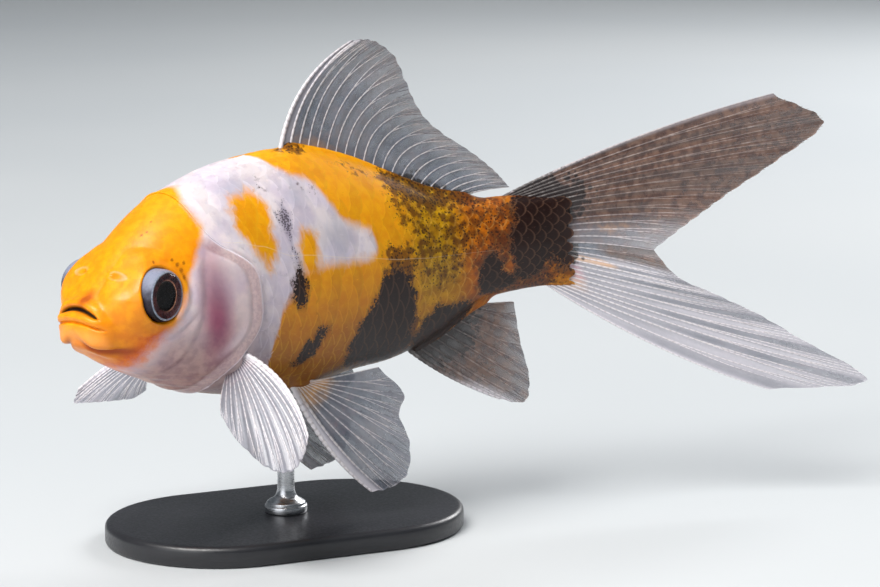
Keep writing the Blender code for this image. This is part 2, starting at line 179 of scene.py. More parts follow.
def surface(station, angle):
    """The body's surface in fish coordinates. It thins to a wedge where the tail fin begins."""
    up = np.cos(angle)
    middle, reach, fullness = section(station, up >= 0.0)
    wedge = 1.0 - 0.82 * ramp(station, 75.0, 81.8)
    y = half_width(station) * wedge * np.sin(angle)
    z = middle + reach * np.sign(up) * np.abs(up) ** (2.0 / fullness)
    return np.stack([station + 0.0 * y, y, z], axis=-1)


def side_offset(station, z):
    """Half the body's width at a station and a height."""
    middle, reach, fullness = section(station, z >= widest_height(station))
    level = np.minimum(np.abs(z - middle) / reach, 1.0)
    return half_width(station) * np.sqrt(1.0 - level ** fullness)


def surface_normal(station, angle):
    """Unit normals of the body's surface, pointing out."""
    small = 0.02
    along = surface(station + small, angle) - surface(station - small, angle)
    around = surface(station, angle + small) - surface(station, angle - small)
    return direction(np.cross(along, around))


def centreline(station):
    """The heading of the body's axis at a station, and its place in plan, before it is tipped."""
    bend_rate = (YAW_TAIL - YAW_HEAD) / (BEND_END - BEND_START)
    on_arc = np.clip(station, BEND_START, BEND_END)
    yaw = YAW_HEAD + bend_rate * (on_arc - BEND_START)
    x = BEND_START * math.cos(YAW_HEAD) + (np.sin(yaw) - math.sin(YAW_HEAD)) / bend_rate
    y = BEND_START * math.sin(YAW_HEAD) + (math.cos(YAW_HEAD) - np.cos(yaw)) / bend_rate
    beyond = station - on_arc
    return yaw, x + beyond * np.cos(yaw), y + beyond * np.sin(yaw)


def place(points):
    """Fish coordinates in millimetres to the posed model in metres."""
    points = np.asarray(points, float)
    yaw, x_axis, y_axis = centreline(points[..., 0])
    _, x_rod, y_rod = centreline(np.array(ROD_STATION))
    x_level = x_axis - x_rod - points[..., 1] * np.sin(yaw)
    y_level = y_axis - y_rod + points[..., 1] * np.cos(yaw)
    z = points[..., 2]
    x = x_level * math.cos(NOSE_DOWN) - z * math.sin(NOSE_DOWN)
    z_tipped = x_level * math.sin(NOSE_DOWN) + z * math.cos(NOSE_DOWN)
    return np.stack([x, y_level, z_tipped + AXIS_HEIGHT], axis=-1) * MM


# ---- lengths round the body

MAP_STATIONS = np.linspace(0.05, MAP_END, 240)
MAP_ANGLES = np.linspace(0.0, math.pi, 241)


def girth_tables():
    """Half the girth at each station, and the angle at even fractions of it from the back."""
    stations, angles = np.meshgrid(MAP_STATIONS, MAP_ANGLES, indexing="ij")
    steps = np.linalg.norm(np.diff(surface(stations, angles), axis=1), axis=-1)
    lengths = np.concatenate([np.zeros((len(MAP_STATIONS), 1)), np.cumsum(steps, axis=1)], axis=1)
    even = np.linspace(0.0, 1.0, len(MAP_ANGLES))
    angle_at = np.array([np.interp(even * row[-1], row, MAP_ANGLES) for row in lengths])
    share_at = lengths / lengths[:, -1:]
    return lengths[:, -1], angle_at, share_at


HALF_GIRTHS, ANGLE_AT_SHARE, SHARE_AT_ANGLE = girth_tables()


def lookup(table, station, column):
    """Reads a table over stations and even columns from 0 to 1."""
    row = np.interp(station, MAP_STATIONS, np.arange(len(MAP_STATIONS)))
    column = unit(column) * (table.shape[1] - 1)
    i = np.minimum(row.astype(int), table.shape[0] - 2)
    j = np.minimum(column.astype(int), table.shape[1] - 2)
    a, b = row - i, column - j
    near = table[i, j] * (1.0 - b) + table[i, j + 1] * b
    far = table[i + 1, j] * (1.0 - b) + table[i + 1, j + 1] * b
    return near * (1.0 - a) + far * a


def half_girth(station):
    """The length of skin from the back to the belly, on one side."""
    return np.interp(station, MAP_STATIONS, HALF_GIRTHS)


# The lateral line, as an angle in half turns from the back
lateral_turn = through(
    (16.0, 0.3), (21.7, 0.335), (25.5, 0.36), (31.1, 0.4), (43.2, 0.43), (53.4, 0.465),
    (58.0, 0.48), (64.2, 0.49), (72.0, 0.5), (MAP_END, 0.5))


def cover_edge(angle):
    """The station where the gill cover ends, round the head."""
    z = surface(np.full_like(angle, 21.0), angle)[..., 2]
    upper = z > COVER_LEVEL
    away = (z - COVER_LEVEL) / np.where(upper, COVER_TOP_REACH, COVER_LOW_REACH)
    end = np.where(upper, NAPE_STATION, THROAT_STATION)
    return end + (COVER_REAR - end) / (1.0 + away ** 4)


def cover_fade(angle):
    """1 where the gill cover stands clear of the body, 0 over the nape."""
    z = surface(np.full_like(angle, 21.0), angle)[..., 2]
    return fall(z, 2.6, 6.4) * (1.0 - 0.45 * ramp(-z, 11.0, 15.0))


# ---- relief of the skin

def mouth_groove(side):
    """The height of the groove under the lip, which drops towards the corners of the mouth."""
    return -4.0 - 1.9 * (1.0 - np.exp(-(side / 2.4) ** 2))


def mouth_fold(y, z):
    """The height above the fold over the mouth."""
    return z - (-0.15 - 0.085 * y ** 2)


def mouth_gape(y, z):
    """The height above the line where the lips meet."""
    return z - (-1.85 - 0.045 * y ** 2)


def mouth_relief(s, y, z):
    """The fold over the mouth, the lips, and the groove under the lower lip."""
    side = np.abs(y)
    fold, gape = mouth_fold(y, z), mouth_gape(y, z)
    fold_width = 0.08 + 0.22 * np.sqrt(np.maximum(1.0 - (side / 3.7) ** 2, 0.0))
    relief = -0.75 * hump(fold, fold_width) * fall(side, 3.0, 4.1)
    relief += 0.3 * hump(fold - 0.85, 0.55) * fall(side, 2.6, 4.6)
    relief += 0.34 * hump(gape - 0.72, 0.48) * fall(side, 3.0, 4.6)
    relief -= 0.42 * hump(gape, 0.16) * fall(side, 3.6, 4.8)
    groove = z - mouth_groove(side)
    above = 0.2 + 0.22 * ramp(side, 0.5, 3.0)
    relief += above * hump(groove - 1.05, 0.85) * fall(side, 4.3, 5.3)
    depth = (0.1 + 0.9 * ramp(side, 0.8, 2.8)) * fall(side, 4.4, 5.6)
    relief -= 0.46 * hump(groove, 0.4) * depth
    below = 0.08 + 0.17 * ramp(side, 0.8, 2.8)
    relief += below * hump(groove + 0.9, 0.7) * fall(side, 2.6, 4.8)
    muzzle = 0.5 * fall(s, 0.5, 3.0) * fall(np.abs(z + 2.4), 2.0, 4.5)
    return relief * fall(s, 2.6, 5.0) + muzzle


def nostril(s, y, z):
    """The distance from the middle of a nostril, and the share of the hood around it."""
    along, up = s - NOSTRIL_STATION, z - NOSTRIL_HEIGHT
    away = np.sqrt(along ** 2 + up ** 2 + (np.abs(y) - NOSTRIL_SIDE) ** 2)
    return away, 0.5 + 0.5 * np.cos(np.arctan2(up, along) + 0.5)


def nostril_relief(s, y, z):
    """A pit on each side of the snout, half hooded by a raised flap."""
    away, hood = nostril(s, y, z)
    relief = 0.42 * hump(away - 0.62, 0.24) * hood
    relief -= 0.55 * hump(away, 0.32)
    return relief + 0.15 * hump(away, 1.0)


def eye_relief(s, y, z):
    """The swelling that the eye sits in, its rim, and the socket under the eye."""
    along, up = s - EYE_STATION, z - EYE_HEIGHT
    away = np.hypot(along, up)
    turn = np.arctan2(up, along)
    # The collar stands further out before the left eye than before the right one
    fore = 0.42 - 0.36 * ramp(y, -1.0, 1.0)
    collar = 7.88 + fore * np.maximum(-np.cos(turn), 0.0) - 1.2 * np.maximum(np.sin(turn), 0.0)
    short = collar - np.abs(y)
    lift = 0.5 * (short + np.sqrt(short ** 2 + 0.3)) * ramp(np.abs(y), 2.2, 4.8)
    reach = 6.5 - 0.6 * np.cos(turn) - 0.3 * np.maximum(np.sin(turn), 0.0)
    relief = lift * fall(away, 3.6, reach)
    relief += 0.15 * hump(away - 3.93, 0.28)
    relief -= 0.1 * hump(away - 4.7, 0.35)
    return relief - 2.4 * fall(away, 3.2, 3.6)


def eye_lean(s, z):
    """How far the skin moves straight sideways instead of along its normal, near the eye."""
    return fall(np.hypot(s - EYE_STATION, z - EYE_HEIGHT), 4.6, 7.4)


def cheek_relief(s, z):
    """The plates of the cheek and gill cover, and the folds under the throat."""
    ridge = through((-12.0, 9.5), (-6.7, 12.7), (-4.8, 13.6), (-3.0, 14.4), (0.2, 15.0),
                    (2.7, 15.3), (6.0, 16.0))(z)
    on_cheek = ramp(z, -11.5, -8.0) * fall(z, 4.0, 6.5)
    relief = (0.14 * hump(s - ridge + 1.0, 0.9) - 0.09 * hump(s - ridge, 0.6)) * on_cheek
    under_eye = np.hypot((s - EYE_STATION) / 1.05, z - EYE_HEIGHT) - 5.9
    relief -= 0.16 * hump(under_eye, 0.35) * ramp(-z, 1.0, 3.0) * ramp(s, 3.0, 5.0)
    for fold in range(3):
        line = -11.2 - 0.9 * fold - 0.12 * (s - 14.0)
        fade = ramp(s, 8.5 + fold, 11.0 + fold) * fall(s, 17.0, 20.0)
        relief -= 0.13 * hump(z - line, 0.24) * fade
    return relief


def cover_relief(s, z, edge):
    """The gill cover's bony plate, and the soft flange behind it."""
    before = edge - s
    on_plate = fall(z, 3.5, 7.5) * ramp(before, 0.0, 0.2)
    relief = 0.14 * (ramp(before, 1.9, 3.1) - ramp(before, 4.0, 8.0)) * on_plate
    relief -= 0.07 * hump(before - 1.95, 0.5) * on_plate
    return relief + 0.22 * hump(np.hypot(s - 18.6, 0.6 * (z + 2.0)), 4.2)


def fin_base_relief(s, y, z):
    """The fleshy bases that the fins grow from."""
    on_back = ramp(z, 3.0, 4.5) * ramp(s, 36.4, 38.5) * fall(s, 65.0, 68.5)
    relief = 0.95 * hump(y, 0.62) * on_back
    under = ramp(-z, 6.0, 8.5) * ramp(s, 55.3, 57.0) * fall(s, 67.5, 69.5)
    relief += 0.9 * hump(y, 0.6) * under
    pelvic = np.sqrt(((s - 36.4) / 2.4) ** 2 + ((np.abs(y) - 4.4) / 1.1) ** 2
                     + ((z + 16.4) / 1.2) ** 2)
    relief += 0.7 * hump(pelvic, 1.0)
    pectoral = np.sqrt(((s - 20.9) / 1.5) ** 2 + ((z + 11.0) / 2.1) ** 2)
    return relief + 0.75 * hump(pectoral, 1.0) * ramp(np.abs(y), 3.0, 5.0)


def relief(points, edge):
    """How far the skin stands out of the body's plain surface, in millimetres."""
    s, y, z = points[..., 0], points[..., 1], points[..., 2]
    on_head = fall(s, 24.0, 26.0)
    head = mouth_relief(s, y, z) + nostril_relief(s, y, z)
    head = head + eye_relief(s, y, z) + cheek_relief(s, z)
    return head * on_head + cover_relief(s, z, edge) + fin_base_relief(s, y, z)


# ---- markings and painted shade

def blob(station, turn, centre, reach, tilt=0.0):
    """Millimetres inside an ellipse on the skin, negative outside it. The centre is a station and
    a turn: the angle in half turns from the back, positive on the left, negative on the right."""
    across = ((turn - centre[1] + 1.0) % 2.0 - 1.0) * half_girth(np.array(centre[0]))
    along = station - centre[0]
    x = (along * math.cos(tilt) + across * math.sin(tilt)) / reach[0]
    y = (across * math.cos(tilt) - along * math.sin(tilt)) / reach[1]
    return (1.0 - np.hypot(x, y)) * min(reach)


def wander(station, turn):
    """The same place, moved a little to and fro, which makes the markings' outlines irregular."""
    across = turn * 33.0
    along = (0.26 * np.sin(1.9 * across + 0.9 * station)
             + 0.2 * np.sin(3.7 * across - 1.6 * station + 1.0)
             + 0.18 * np.sin(7.1 * across + 4.3 * station + 2.0))
    aside = (0.26 * np.sin(1.7 * station - 1.1 * across + 0.4)
             + 0.2 * np.sin(3.9 * station + 1.9 * across)
             + 0.18 * np.sin(7.7 * station - 4.9 * across + 1.1))
    return station + along, turn + aside / 36.0


def union(station, turn, blobs):
    """The deepest of several blobs."""
    station, turn = wander(station, turn)
    return np.max([blob(station, turn, *each) for each in blobs], axis=0)


# Patches as (station, turn), (reach along, reach across) and, for some, a tilt
BLACK_PATCHES = [
    # the left side
    ((31.8, 0.482), (1.55, 2.2), 0.1), ((34.2, 0.672), (1.25, 3.5), 0.76),
    ((49.8, 0.64), (3.6, 5.2), 0.3), ((52.8, 0.64), (2.0, 3.8)), ((46.6, 0.7), (3.8, 5.2), 0.6),
    ((45.2, 0.77), (3.2, 2.6)), ((50.5, 0.8), (4.2, 3.8)),
    ((58.8, 0.83), (3.6, 4.2), 0.2), ((61.6, 0.86), (4.2, 3.4), 0.3), ((57.0, 0.93), (4.2, 2.6)),
    ((68.0, 0.66), (2.0, 2.9), 0.2), ((70.2, 0.74), (1.8, 1.3)),
    # the saddle over the tail stalk
    ((76.3, 0.22), (4.3, 4.0)), ((75.0, 0.48), (3.6, 3.4), 0.2), ((77.8, 0.0), (4.4, 2.6)),
    ((73.9, 0.62), (1.9, 2.2)), ((78.9, 0.42), (1.8, 2.6)), ((80.6, 0.21), (3.2, 3.6)),
    ((80.2, 0.5), (2.0, 2.6)),
    # the right side
    ((76.0, -0.24), (4.5, 4.2)), ((80.6, -0.21), (3.2, 3.6)), ((74.6, -0.52), (3.0, 3.0)),
    ((29.4, -0.52), (1.5, 2.9), -0.3),
    ((40.5, -0.4), (2.6, 4.4), 0.5), ((43.0, -0.56), (2.2, 3.6), -0.4),
    ((54.6, -0.62), (3.2, 5.4), -0.5), ((52.0, -0.76), (3.6, 3.8)), ((61.0, -0.86), (4.4, 3.6)),
    ((66.5, -0.48), (2.2, 2.6)), ((20.8, -0.17), (1.2, 1.9), 0.4)]
GREY_PATCHES = [
    ((31.1, 0.31), (1.35, 2.6), 0.12), ((31.6, 0.395), (0.7, 1.6)),
    ((28.0, -0.28), (1.8, 2.6), 0.3)]
HAZY_PATCHES = [
    ((34.4, 0.24), (2.8, 2.2)), ((40.4, 0.37), (3.4, 2.4)), ((24.6, 0.165), (3.6, 2.0)),
    ((38.0, -0.3), (3.0, 2.4))]
YELLOW_PATCHES = [
    ((25.5, 0.28), (3.1, 4.0), -0.3), ((26.9, 0.365), (1.7, 2.2)), ((34.4, 0.4), (1.9, 2.4)),
    ((26.5, -0.35), (2.4, 4.6), 0.3), ((35.5, -0.3), (3.0, 3.6), -0.5)]
RED_PATCHES = [
    ((65.6, 0.4), (4.2, 5.0)), ((66.4, 0.64), (2.6, 3.2)), ((73.6, 0.84), (2.6, 2.4)),
    ((77.2, 0.64), (1.8, 2.2)), ((66.0, -0.45), (4.2, 3.8)), ((73.0, -0.76), (3.0, 2.6))]
DOTTED_AREAS = [
    ((37.9, 0.03), (2.4, 1.8)), ((57.5, 0.09), (6.5, 3.6)), ((63.5, 0.05), (6.0, 2.4)),
    ((49.5, 0.78), (6.0, 6.0)), ((52.0, 0.47), (3.2, 2.0)), ((73.5, 0.8), (4.6, 2.6)),
    ((57.5, -0.1), (7.0, 4.0)), ((72.0, -0.76), (4.8, 3.0))]
FLECKED_AREAS = [
    ((28.8, 0.18), (1.3, 1.3)), ((37.2, 0.225), (1.4, 1.2)), ((57.0, 0.2), (6.5, 6.0)),
    ((59.5, 0.4), (5.4, 6.0)), ((64.5, 0.28), (5.0, 6.0)), ((70.0, 0.33), (3.6, 4.0)),
    ((80.0, 0.64), (3.0, 4.6)), ((60.0, -0.36), (6.5, 7.0)), ((36.0, -0.08), (2.6, 2.0)),
    ((33.0, -0.46), (2.6, 2.2)), ((47.0, 0.1), (4.0, 2.0))]
# Freckles as (station, turn) and a size
FRECKLES = [
    ((8.5, 0.245), 0.34), ((9.7, 0.115), 0.3), ((12.7, 0.33), 0.34), ((10.4, 0.125), 0.26),
    ((11.7, 0.1), 0.28), ((11.3, 0.3), 0.34), ((11.8, 0.325), 0.42), ((12.1, 0.35), 0.46),
    ((12.2, 0.372), 0.42), ((9.1, -0.2), 0.32), ((12.2, -0.15), 0.3), ((10.8, -0.08), 0.28)]

# The rear edge of the head's orange cap, by the turn
cap_edge = through(
    (0.0, 18.3), (0.13, 16.5), (0.25, 16.9), (0.29, 16.3), (0.33, 14.7), (0.38, 13.0),
    (0.44, 12.2), (0.49, 10.6), (0.55, 8.5), (0.66, 7.0), (0.8, 6.3), (1.0, 5.9))
# The lower edge of the yellow back and the upper edge of the yellow flank, by the station
back_edge = through(
    (30.5, -0.05), (31.5, 0.05), (33.0, 0.14), (35.0, 0.185), (37.0, 0.2), (38.5, 0.225),
    (40.5, 0.29), (42.0, 0.33), (44.5, 0.34), (47.0, 0.36), (48.5, 0.46), (50.0, 0.6))
flank_edge = through(
    (26.0, 0.95), (27.0, 0.62), (28.5, 0.52), (30.5, 0.485), (32.5, 0.455), (34.0, 0.43),
    (36.0, 0.437), (46.5, 0.443), (48.5, 0.4), (50.0, 0.2))


def yellow_field(station, turn):
    """Millimetres inside the yellow and orange skin."""
    side = np.abs(turn)
    # The right side's edges are moved along the body a little
    shift = np.where(turn < 0.0, 2.5, 0.0)
    cap = cap_edge(side) - station
    on_back = (back_edge(station + shift) - side) * half_girth(station)
    on_flank = (side - flank_edge(station - 0.5 * shift)) * half_girth(station)
    return np.max([cap, on_back, on_flank, union(station, turn, YELLOW_PATCHES)], axis=0)


def coat_pigments(station, turn, cap):
    """The pigments of the whole coat, and a shade that darkens it towards the belly, partly the
    belly's own duskier colour and partly painted shade. The cap is the distance inside the head's
    orange cap.
    """
    side = np.abs(turn)
    soft = 1.35 + 2.4 * ramp(side, 0.42, 0.6) * fall(station, 24.0, 27.0)
    flank = ramp(side, 0.4, 0.62) * ramp(station, 25.0, 29.0)
    rear = ramp(station, 50.0, 58.0)
    orange = 0.3 * fall(station, 8.0, 20.0) + 0.32 * flank
    orange += 1.1 * hump(cap, 3.0) * ramp(side, 0.48, 0.6) * ramp(station, 3.0, 6.0)
    orange += 0.3 * ramp(side, 0.3, 0.75) * fall(station, 6.0, 12.0)
    orange += 0.45 * ramp(union(station, turn, RED_PATCHES), -1.6, 1.2)
    black, grey = [np.clip(union(station, turn, patches) / 1.5, -1.0, 1.0)
                   for patches in (BLACK_PATCHES, GREY_PATCHES)]
    dots = np.maximum(ramp(union(station, turn, DOTTED_AREAS), -1.4, 1.0),
                      0.62 * ramp(union(station, turn, FLECKED_AREAS), -1.4, 1.6))
    # Shade towards the belly: partly the belly's own duskier colour, partly painted shade of light
    # from above
    belly = ramp(side, 0.36, 0.86) * ramp(station, 5.0, 20.0)
    return {
        "yellow": ramp(yellow_field(station, turn), -soft - 0.25, soft + 0.25),
        "orange": unit(orange),
        "rust": ramp(station, 60.5, 66.5)
        * (1.0 - ramp(station, 76.0, 79.0) * ramp(side, 0.5, 0.6)),
        "olive": rear * fall(station, 62.0, 66.0) * (1.0 - 0.5 * ramp(side, 0.55, 0.7)),
        "black": black,
        "grey": ramp(grey, -0.35, 0.75),
        "haze": ramp(union(station, turn, HAZY_PATCHES), -0.6, 1.8),
        "dots": unit(dots + 0.45 * ramp(black, -0.75, 0.1) + 0.1 * rear),
        "freckle": np.max([hump(1.0 - blob(station, turn, spot, (1.0, 1.0)), size)
                           for spot, size in FRECKLES], axis=0),
        "shade": belly * (1.0 - 0.4 * rear)}


def cover_pigments(station, turn, cap, before):
    """The pigments of the cheek, the gill cover and the lateral line. Before is the distance to
    the cover's rear edge."""
    side = np.abs(turn)
    on_cover = ramp(before, -0.05, 0.05) * ramp(side, 0.27, 0.33)
    cheek = ramp(-cap, -0.5, 3.0) * ramp(side, 0.3, 0.42) * ramp(before, -0.1, 0.3)
    flush = ramp(blob(station, side, (16.3, 0.445), (2.1, 7.4), -0.06), -1.6, 1.7) * on_cover
    rim = ramp(before, -0.1, 0.0) * fall(before, 0.22, 0.5) * on_cover
    crescent = hump(before - 3.3, 1.1) * hump(side - 0.585, 0.06) * on_cover
    from_line = np.abs(side - lateral_turn(station)) * half_girth(station)
    from_line += (0.05 * ramp(station, 50.0, 64.0) + 1.0 * ramp(station, 68.0, 80.0)
                  + 3.0 * on_cover + 3.0 * fall(station, 17.0, 19.0))
    return {"veil": cheek * (0.35 + 0.65 * ramp(side, 0.42, 0.7)),
            "flush": flush * (0.52 + 0.48 * ramp(side, 0.38, 0.54)),
            "flange": ramp(before, 0.3, 0.55) * fall(before, 1.9, 2.6) * on_cover,
            "seam": np.clip(from_line, 0.0, 2.0),
            "pale": unit(rim + 0.55 * crescent)}


def snout_pigments(station, y, z):
    """The painted shade along the fold over the mouth, the lips, and round them a dark smudge on
    the snout with painted shade in the groove under the lower lip and in the nostril pits.
    """
    side = np.abs(y)
    width = 0.06 + 0.2 * np.sqrt(np.maximum(1.0 - (side / 3.6) ** 2, 0.0))
    # Painted shade: near black along the groove of the fold over the mouth
    mouth = hump(mouth_fold(y, z), width) * fall(side, 3.1, 3.9) * fall(station, 1.6, 2.4)
    mouth = unit(1.6 * mouth)
    lips = hump(mouth_gape(y, z) + 1.5, 1.5) * fall(side, 4.0, 5.6) * fall(station, 3.0, 4.5)
    groove = z - mouth_groove(side)
    # Painted shade in the groove under the lower lip
    under = hump(groove + 0.15, 0.6) * ramp(side, 0.6, 2.0) * fall(station, 4.0, 6.0)
    smudge = hump(np.hypot(y + 1.0, 0.9 * (z - 1.0)), 0.9) * fall(station, 2.2, 3.2)
    away, _ = nostril(station, y, z)
    return {"mouth": mouth, "lips": unit(lips) * (1.0 - mouth),
            # A real dark smudge on the snout, with painted shade under the lower lip and in the
            # nostril pits
            "smudge_and_painted_shade": unit(1.15 * under + 1.25 * smudge + 0.4 * hump(away, 0.3))}


def pigments(station, angle):
    """The amount of each pigment in the skin, and of the painted shade, at stations and angles."""
    turn = (-angle / math.pi + 1.0) % 2.0 - 1.0
    cap = cap_edge(np.abs(turn)) - station
    point = surface(station, angle)
    y, z = point[..., 1], point[..., 2]
    found = coat_pigments(station, turn, cap)
    found.update(cover_pigments(station, turn, cap, cover_edge(angle) - station))
    found.update(snout_pigments(station, y, z))
    away, hood = nostril(station, y, z)
    found["pale"] = unit(found["pale"] + 0.3 * hump(away - 0.62, 0.2) * hood)
    return found


# ---- meshes

# The vertices round the skin, and its rings from the gill cover to the end of the tail stalk
SKIN_COLUMNS = 384
TRUNK_RINGS = 171


def grid_faces(rows, columns, wrap):
    """Quads between the rows of a grid of vertices."""
    rims = columns if wrap else columns - 1
    i, j = np.meshgrid(np.arange(rows - 1), np.arange(rims), indexing="ij")
    after = (j + 1) % columns
    quads = [i * columns + j, i * columns + after, (i + 1) * columns + after, (i + 1) * columns + j]
    return np.stack(quads, axis=-1).reshape(-1, 4)


def end_faces(rings, columns):
    """Triangles from the first and last ring of a grid to the two vertices that come after it."""
    here = np.arange(columns)
    after = (here + 1) % columns
    last = (rings - 1) * columns
    start, end = [np.full(columns, rings * columns + k) for k in (0, 1)]
    return np.concatenate([np.stack([start, after, here], axis=-1),
                           np.stack([last + here, last + after, end], axis=-1)])


def rim_of(index):
    """The vertices round the rim of a grid of vertex numbers, in order."""
    return np.concatenate([index[:-1, 0], index[-1, :-1], index[:0:-1, -1], index[0, :0:-1]])


def volume(points, groups):
    """Six times the volume inside closed faces, negative if they face inwards."""
    total = 0.0
    for group in groups:
        first = points[group[:, 0]]
        for k in range(1, group.shape[1] - 1):
            total += np.sum(first * np.cross(points[group[:, k]], points[group[:, k + 1]]))
    return total


def mesh_piece(name, points, faces, finish, attributes=None):
    """A smooth object from points in metres and faces of one size each, with float attributes."""
    mesh = bpy.data.meshes.new(name)
    groups = faces if isinstance(faces, list) else [faces]
    if volume(points, groups) < 0.0:
        groups = [group[:, ::-1] for group in groups]
    corners = np.concatenate([group.reshape(-1) for group in groups])
    sizes = np.concatenate([np.full(len(group), group.shape[1]) for group in groups])
    mesh.vertices.add(len(points))
    mesh.vertices.foreach_set("co", np.asarray(points, np.float32).reshape(-1))
    mesh.loops.add(len(corners))
    mesh.loops.foreach_set("vertex_index", corners.astype(np.int32))
    mesh.polygons.add(len(sizes))
    starts = np.concatenate([[0], np.cumsum(sizes)[:-1]])
    mesh.polygons.foreach_set("loop_start", starts.astype(np.int32))
    mesh.polygons.foreach_set("use_smooth", np.full(len(sizes), True))
    mesh.update(calc_edges=True)
    mesh.validate()
    for key, values in (attributes or {}).items():
        layer = mesh.attributes.new(key, "FLOAT", "POINT")
        layer.data.foreach_set("value", np.asarray(values, np.float32).reshape(-1))
    mesh.materials.append(finish)
    piece = bpy.data.objects.new(name, mesh)
    bpy.context.scene.collection.objects.link(piece)
    return piece


def ring_stations(spacings):
    """Stations at even lengths along the surface, given as (up to this station, spacing)."""
    roots = np.linspace(0.0, math.sqrt(spacings[-1][0]), 6000)
    stations = roots ** 2
    side = surface(stations, np.full_like(stations, 0.5 * math.pi))
    top = surface(stations, np.zeros_like(stations))
    steps = 0.5 * (np.linalg.norm(np.diff(side, axis=0), axis=-1)
                   + np.linalg.norm(np.diff(top, axis=0), axis=-1))
    spacing = np.interp(stations[1:], [limit for limit, _ in spacings],
                        [gap for _, gap in spacings])
    progress = np.concatenate([[0.0], np.cumsum(steps / spacing)])
    return np.interp(np.arange(1, int(progress[-1])), progress, stations)


def skin_rings(angles):
    """The stations of each ring of the skin, and how far the gill cover lifts it there."""
    edge = cover_edge(angles)
    fade = cover_fade(angles)
    lip_start = COVER_REAR - 1.0
    rows = []
    for station in ring_stations([(0.0, 0.1), (7.0, 0.12), (15.0, 0.18), (lip_start, 0.2)]):
        here = station * (edge - 1.0) / lip_start
        rows.append((here, 0.42 * ramp(here, edge - 6.0, edge - 1.0) * fade))
    lip = [(-0.8, 0.42), (-0.5, 0.42), (-0.28, 0.4), (-0.13, 0.36), (-0.04, 0.29), (0.0, 0.2),
           (-0.03, 0.08), (-0.12, -0.06), (-0.2, -0.24), (-0.02, -0.36), (0.25, -0.36),
           (0.55, -0.3), (1.0, -0.16)]
    for along, lift in lip:
        rows.append((edge + along, lift * fade))
    for step in np.linspace(0.0, 1.0, TRUNK_RINGS + 1)[1:]:
        here = edge + 1.0 + step * (STALK_END - edge - 1.0)
        rows.append((here, -0.1 * fall(step, 0.0, 0.03) * fade))
    z = surface(np.full_like(angles, STALK_END), angles)[..., 2]
    end = (SKIN_END + 0.9 * hump(z - 2.4, 2.4) + 0.5 * hump(z + 5.5, 1.8)
           - 0.6 * ramp(np.abs(z + 1.9), 5.0, 7.0))
    for step in (0.15, 0.3, 0.45, 0.6, 0.75, 0.88, 1.0):
        rows.append((STALK_END + step * (end - STALK_END), 0.0 * fade))
    return rows


def make_skin(finish):
    """One seamless skin from the snout to the base of the tail fin."""
    angles = np.arange(SKIN_COLUMNS) * (2.0 * math.pi / SKIN_COLUMNS) - math.pi
    rows = skin_rings(angles)
    stations = np.array([row for row, _ in rows])
    lifts = np.array([lift for _, lift in rows])
    turns = np.broadcast_to(angles, stations.shape)
    base = surface(stations, turns)
    around = np.roll(base, -1, axis=1) - np.roll(base, 1, axis=1)
    normal = direction(np.cross(np.gradient(base, axis=0), around))
    lean = (eye_lean(base[..., 0], base[..., 2]) * ramp(np.abs(base[..., 1]), 0.6, 3.4))[..., None]
    sideways = np.sign(base) * (0.0, 1.0, 0.0)
    normal = direction(normal * (1.0 - lean) + sideways * lean)
    edge = cover_edge(turns)
    inset = HEAD_INSET + (SCALE_INSET - HEAD_INSET) * ramp(stations, edge - 0.5, edge + 2.5)
    inset *= 1.0 - 0.8 * ramp(stations, 77.0, 80.0)
    skin = base + normal * (relief(base, edge) + lifts - inset)[..., None]
    tips = [skin[k].mean(axis=0, keepdims=True) for k in (0, -1)]
    points = np.concatenate([skin.reshape(-1, 3), *tips])
    faces = [grid_faces(len(rows), SKIN_COLUMNS, True), end_faces(len(rows), SKIN_COLUMNS)]
    # The pigments at the two end vertices, where they aren't zero
    ends = {"yellow": (1.0, 0.3), "orange": (0.5, 0.3), "black": (-1.0, 1.0)}
    attributes = {key: np.concatenate([grid.reshape(-1), ends.get(key, (0.0, 0.0))])
                  for key, grid in pigments(stations, turns).items()}
    attributes["net"] = np.zeros(len(points))
    attributes["tone"] = np.full(len(points), 0.5)
    return mesh_piece("skin", place(points), faces, finish, attributes)


# ---- scales

# The rows of scales above and below the lateral line, the stations where they start and end,
# the spacing, length and rise of a scale, its points along and across, and its size in the map
ROWS_ABOVE = 6
ROWS_BELOW = 7
LAST_ROW = ROWS_ABOVE + ROWS_BELOW
FIRST_ROOT = 10.6
LAST_SCALE_END = 82.4
SCALE_PITCH = 2.06
SCALE_LENGTH = 3.9
SCALE_RISE = 0.085
SCALE_STEPS = 10
SCALE_SPREAD = 9
BAKE_PATCH = 0.003


def row_share(row, station):
    """Where a row of scales runs, as a share of the half girth from the back."""
    line = lookup(SHARE_AT_ANGLE, station, lateral_turn(station))
    above = line * row / ROWS_ABOVE
    below = line + (1.0 - line) * (row - ROWS_ABOVE) / ROWS_BELOW
    return np.where(row <= ROWS_ABOVE, above, below)


def scale_places():
    """The side, row and root station of every scale."""
    places = []
    for row in range(LAST_ROW + 1):
        for side in ((1,) if row in (0, LAST_ROW) else (-1, 1)):
            for column in range(40):
                station = FIRST_ROOT + SCALE_PITCH * (column + 0.5 * (row % 2))
                share = row_share(row, np.array(station + SCALE_PITCH))
                angle = lookup(ANGLE_AT_SHARE, np.array(station), share)
                start = float(cover_edge(np.atleast_1d(angle))[0])
                end = station + SCALE_LENGTH
                off_flank = end < start + 0.9 or end > LAST_SCALE_END
                under_dorsal = row == 0 and 34.5 < station < 65.5
                under_anal = row == LAST_ROW and 53.0 < station < 67.0
                if not (off_flank or under_dorsal or under_anal):
                    places.append((side, row, station))
    return places


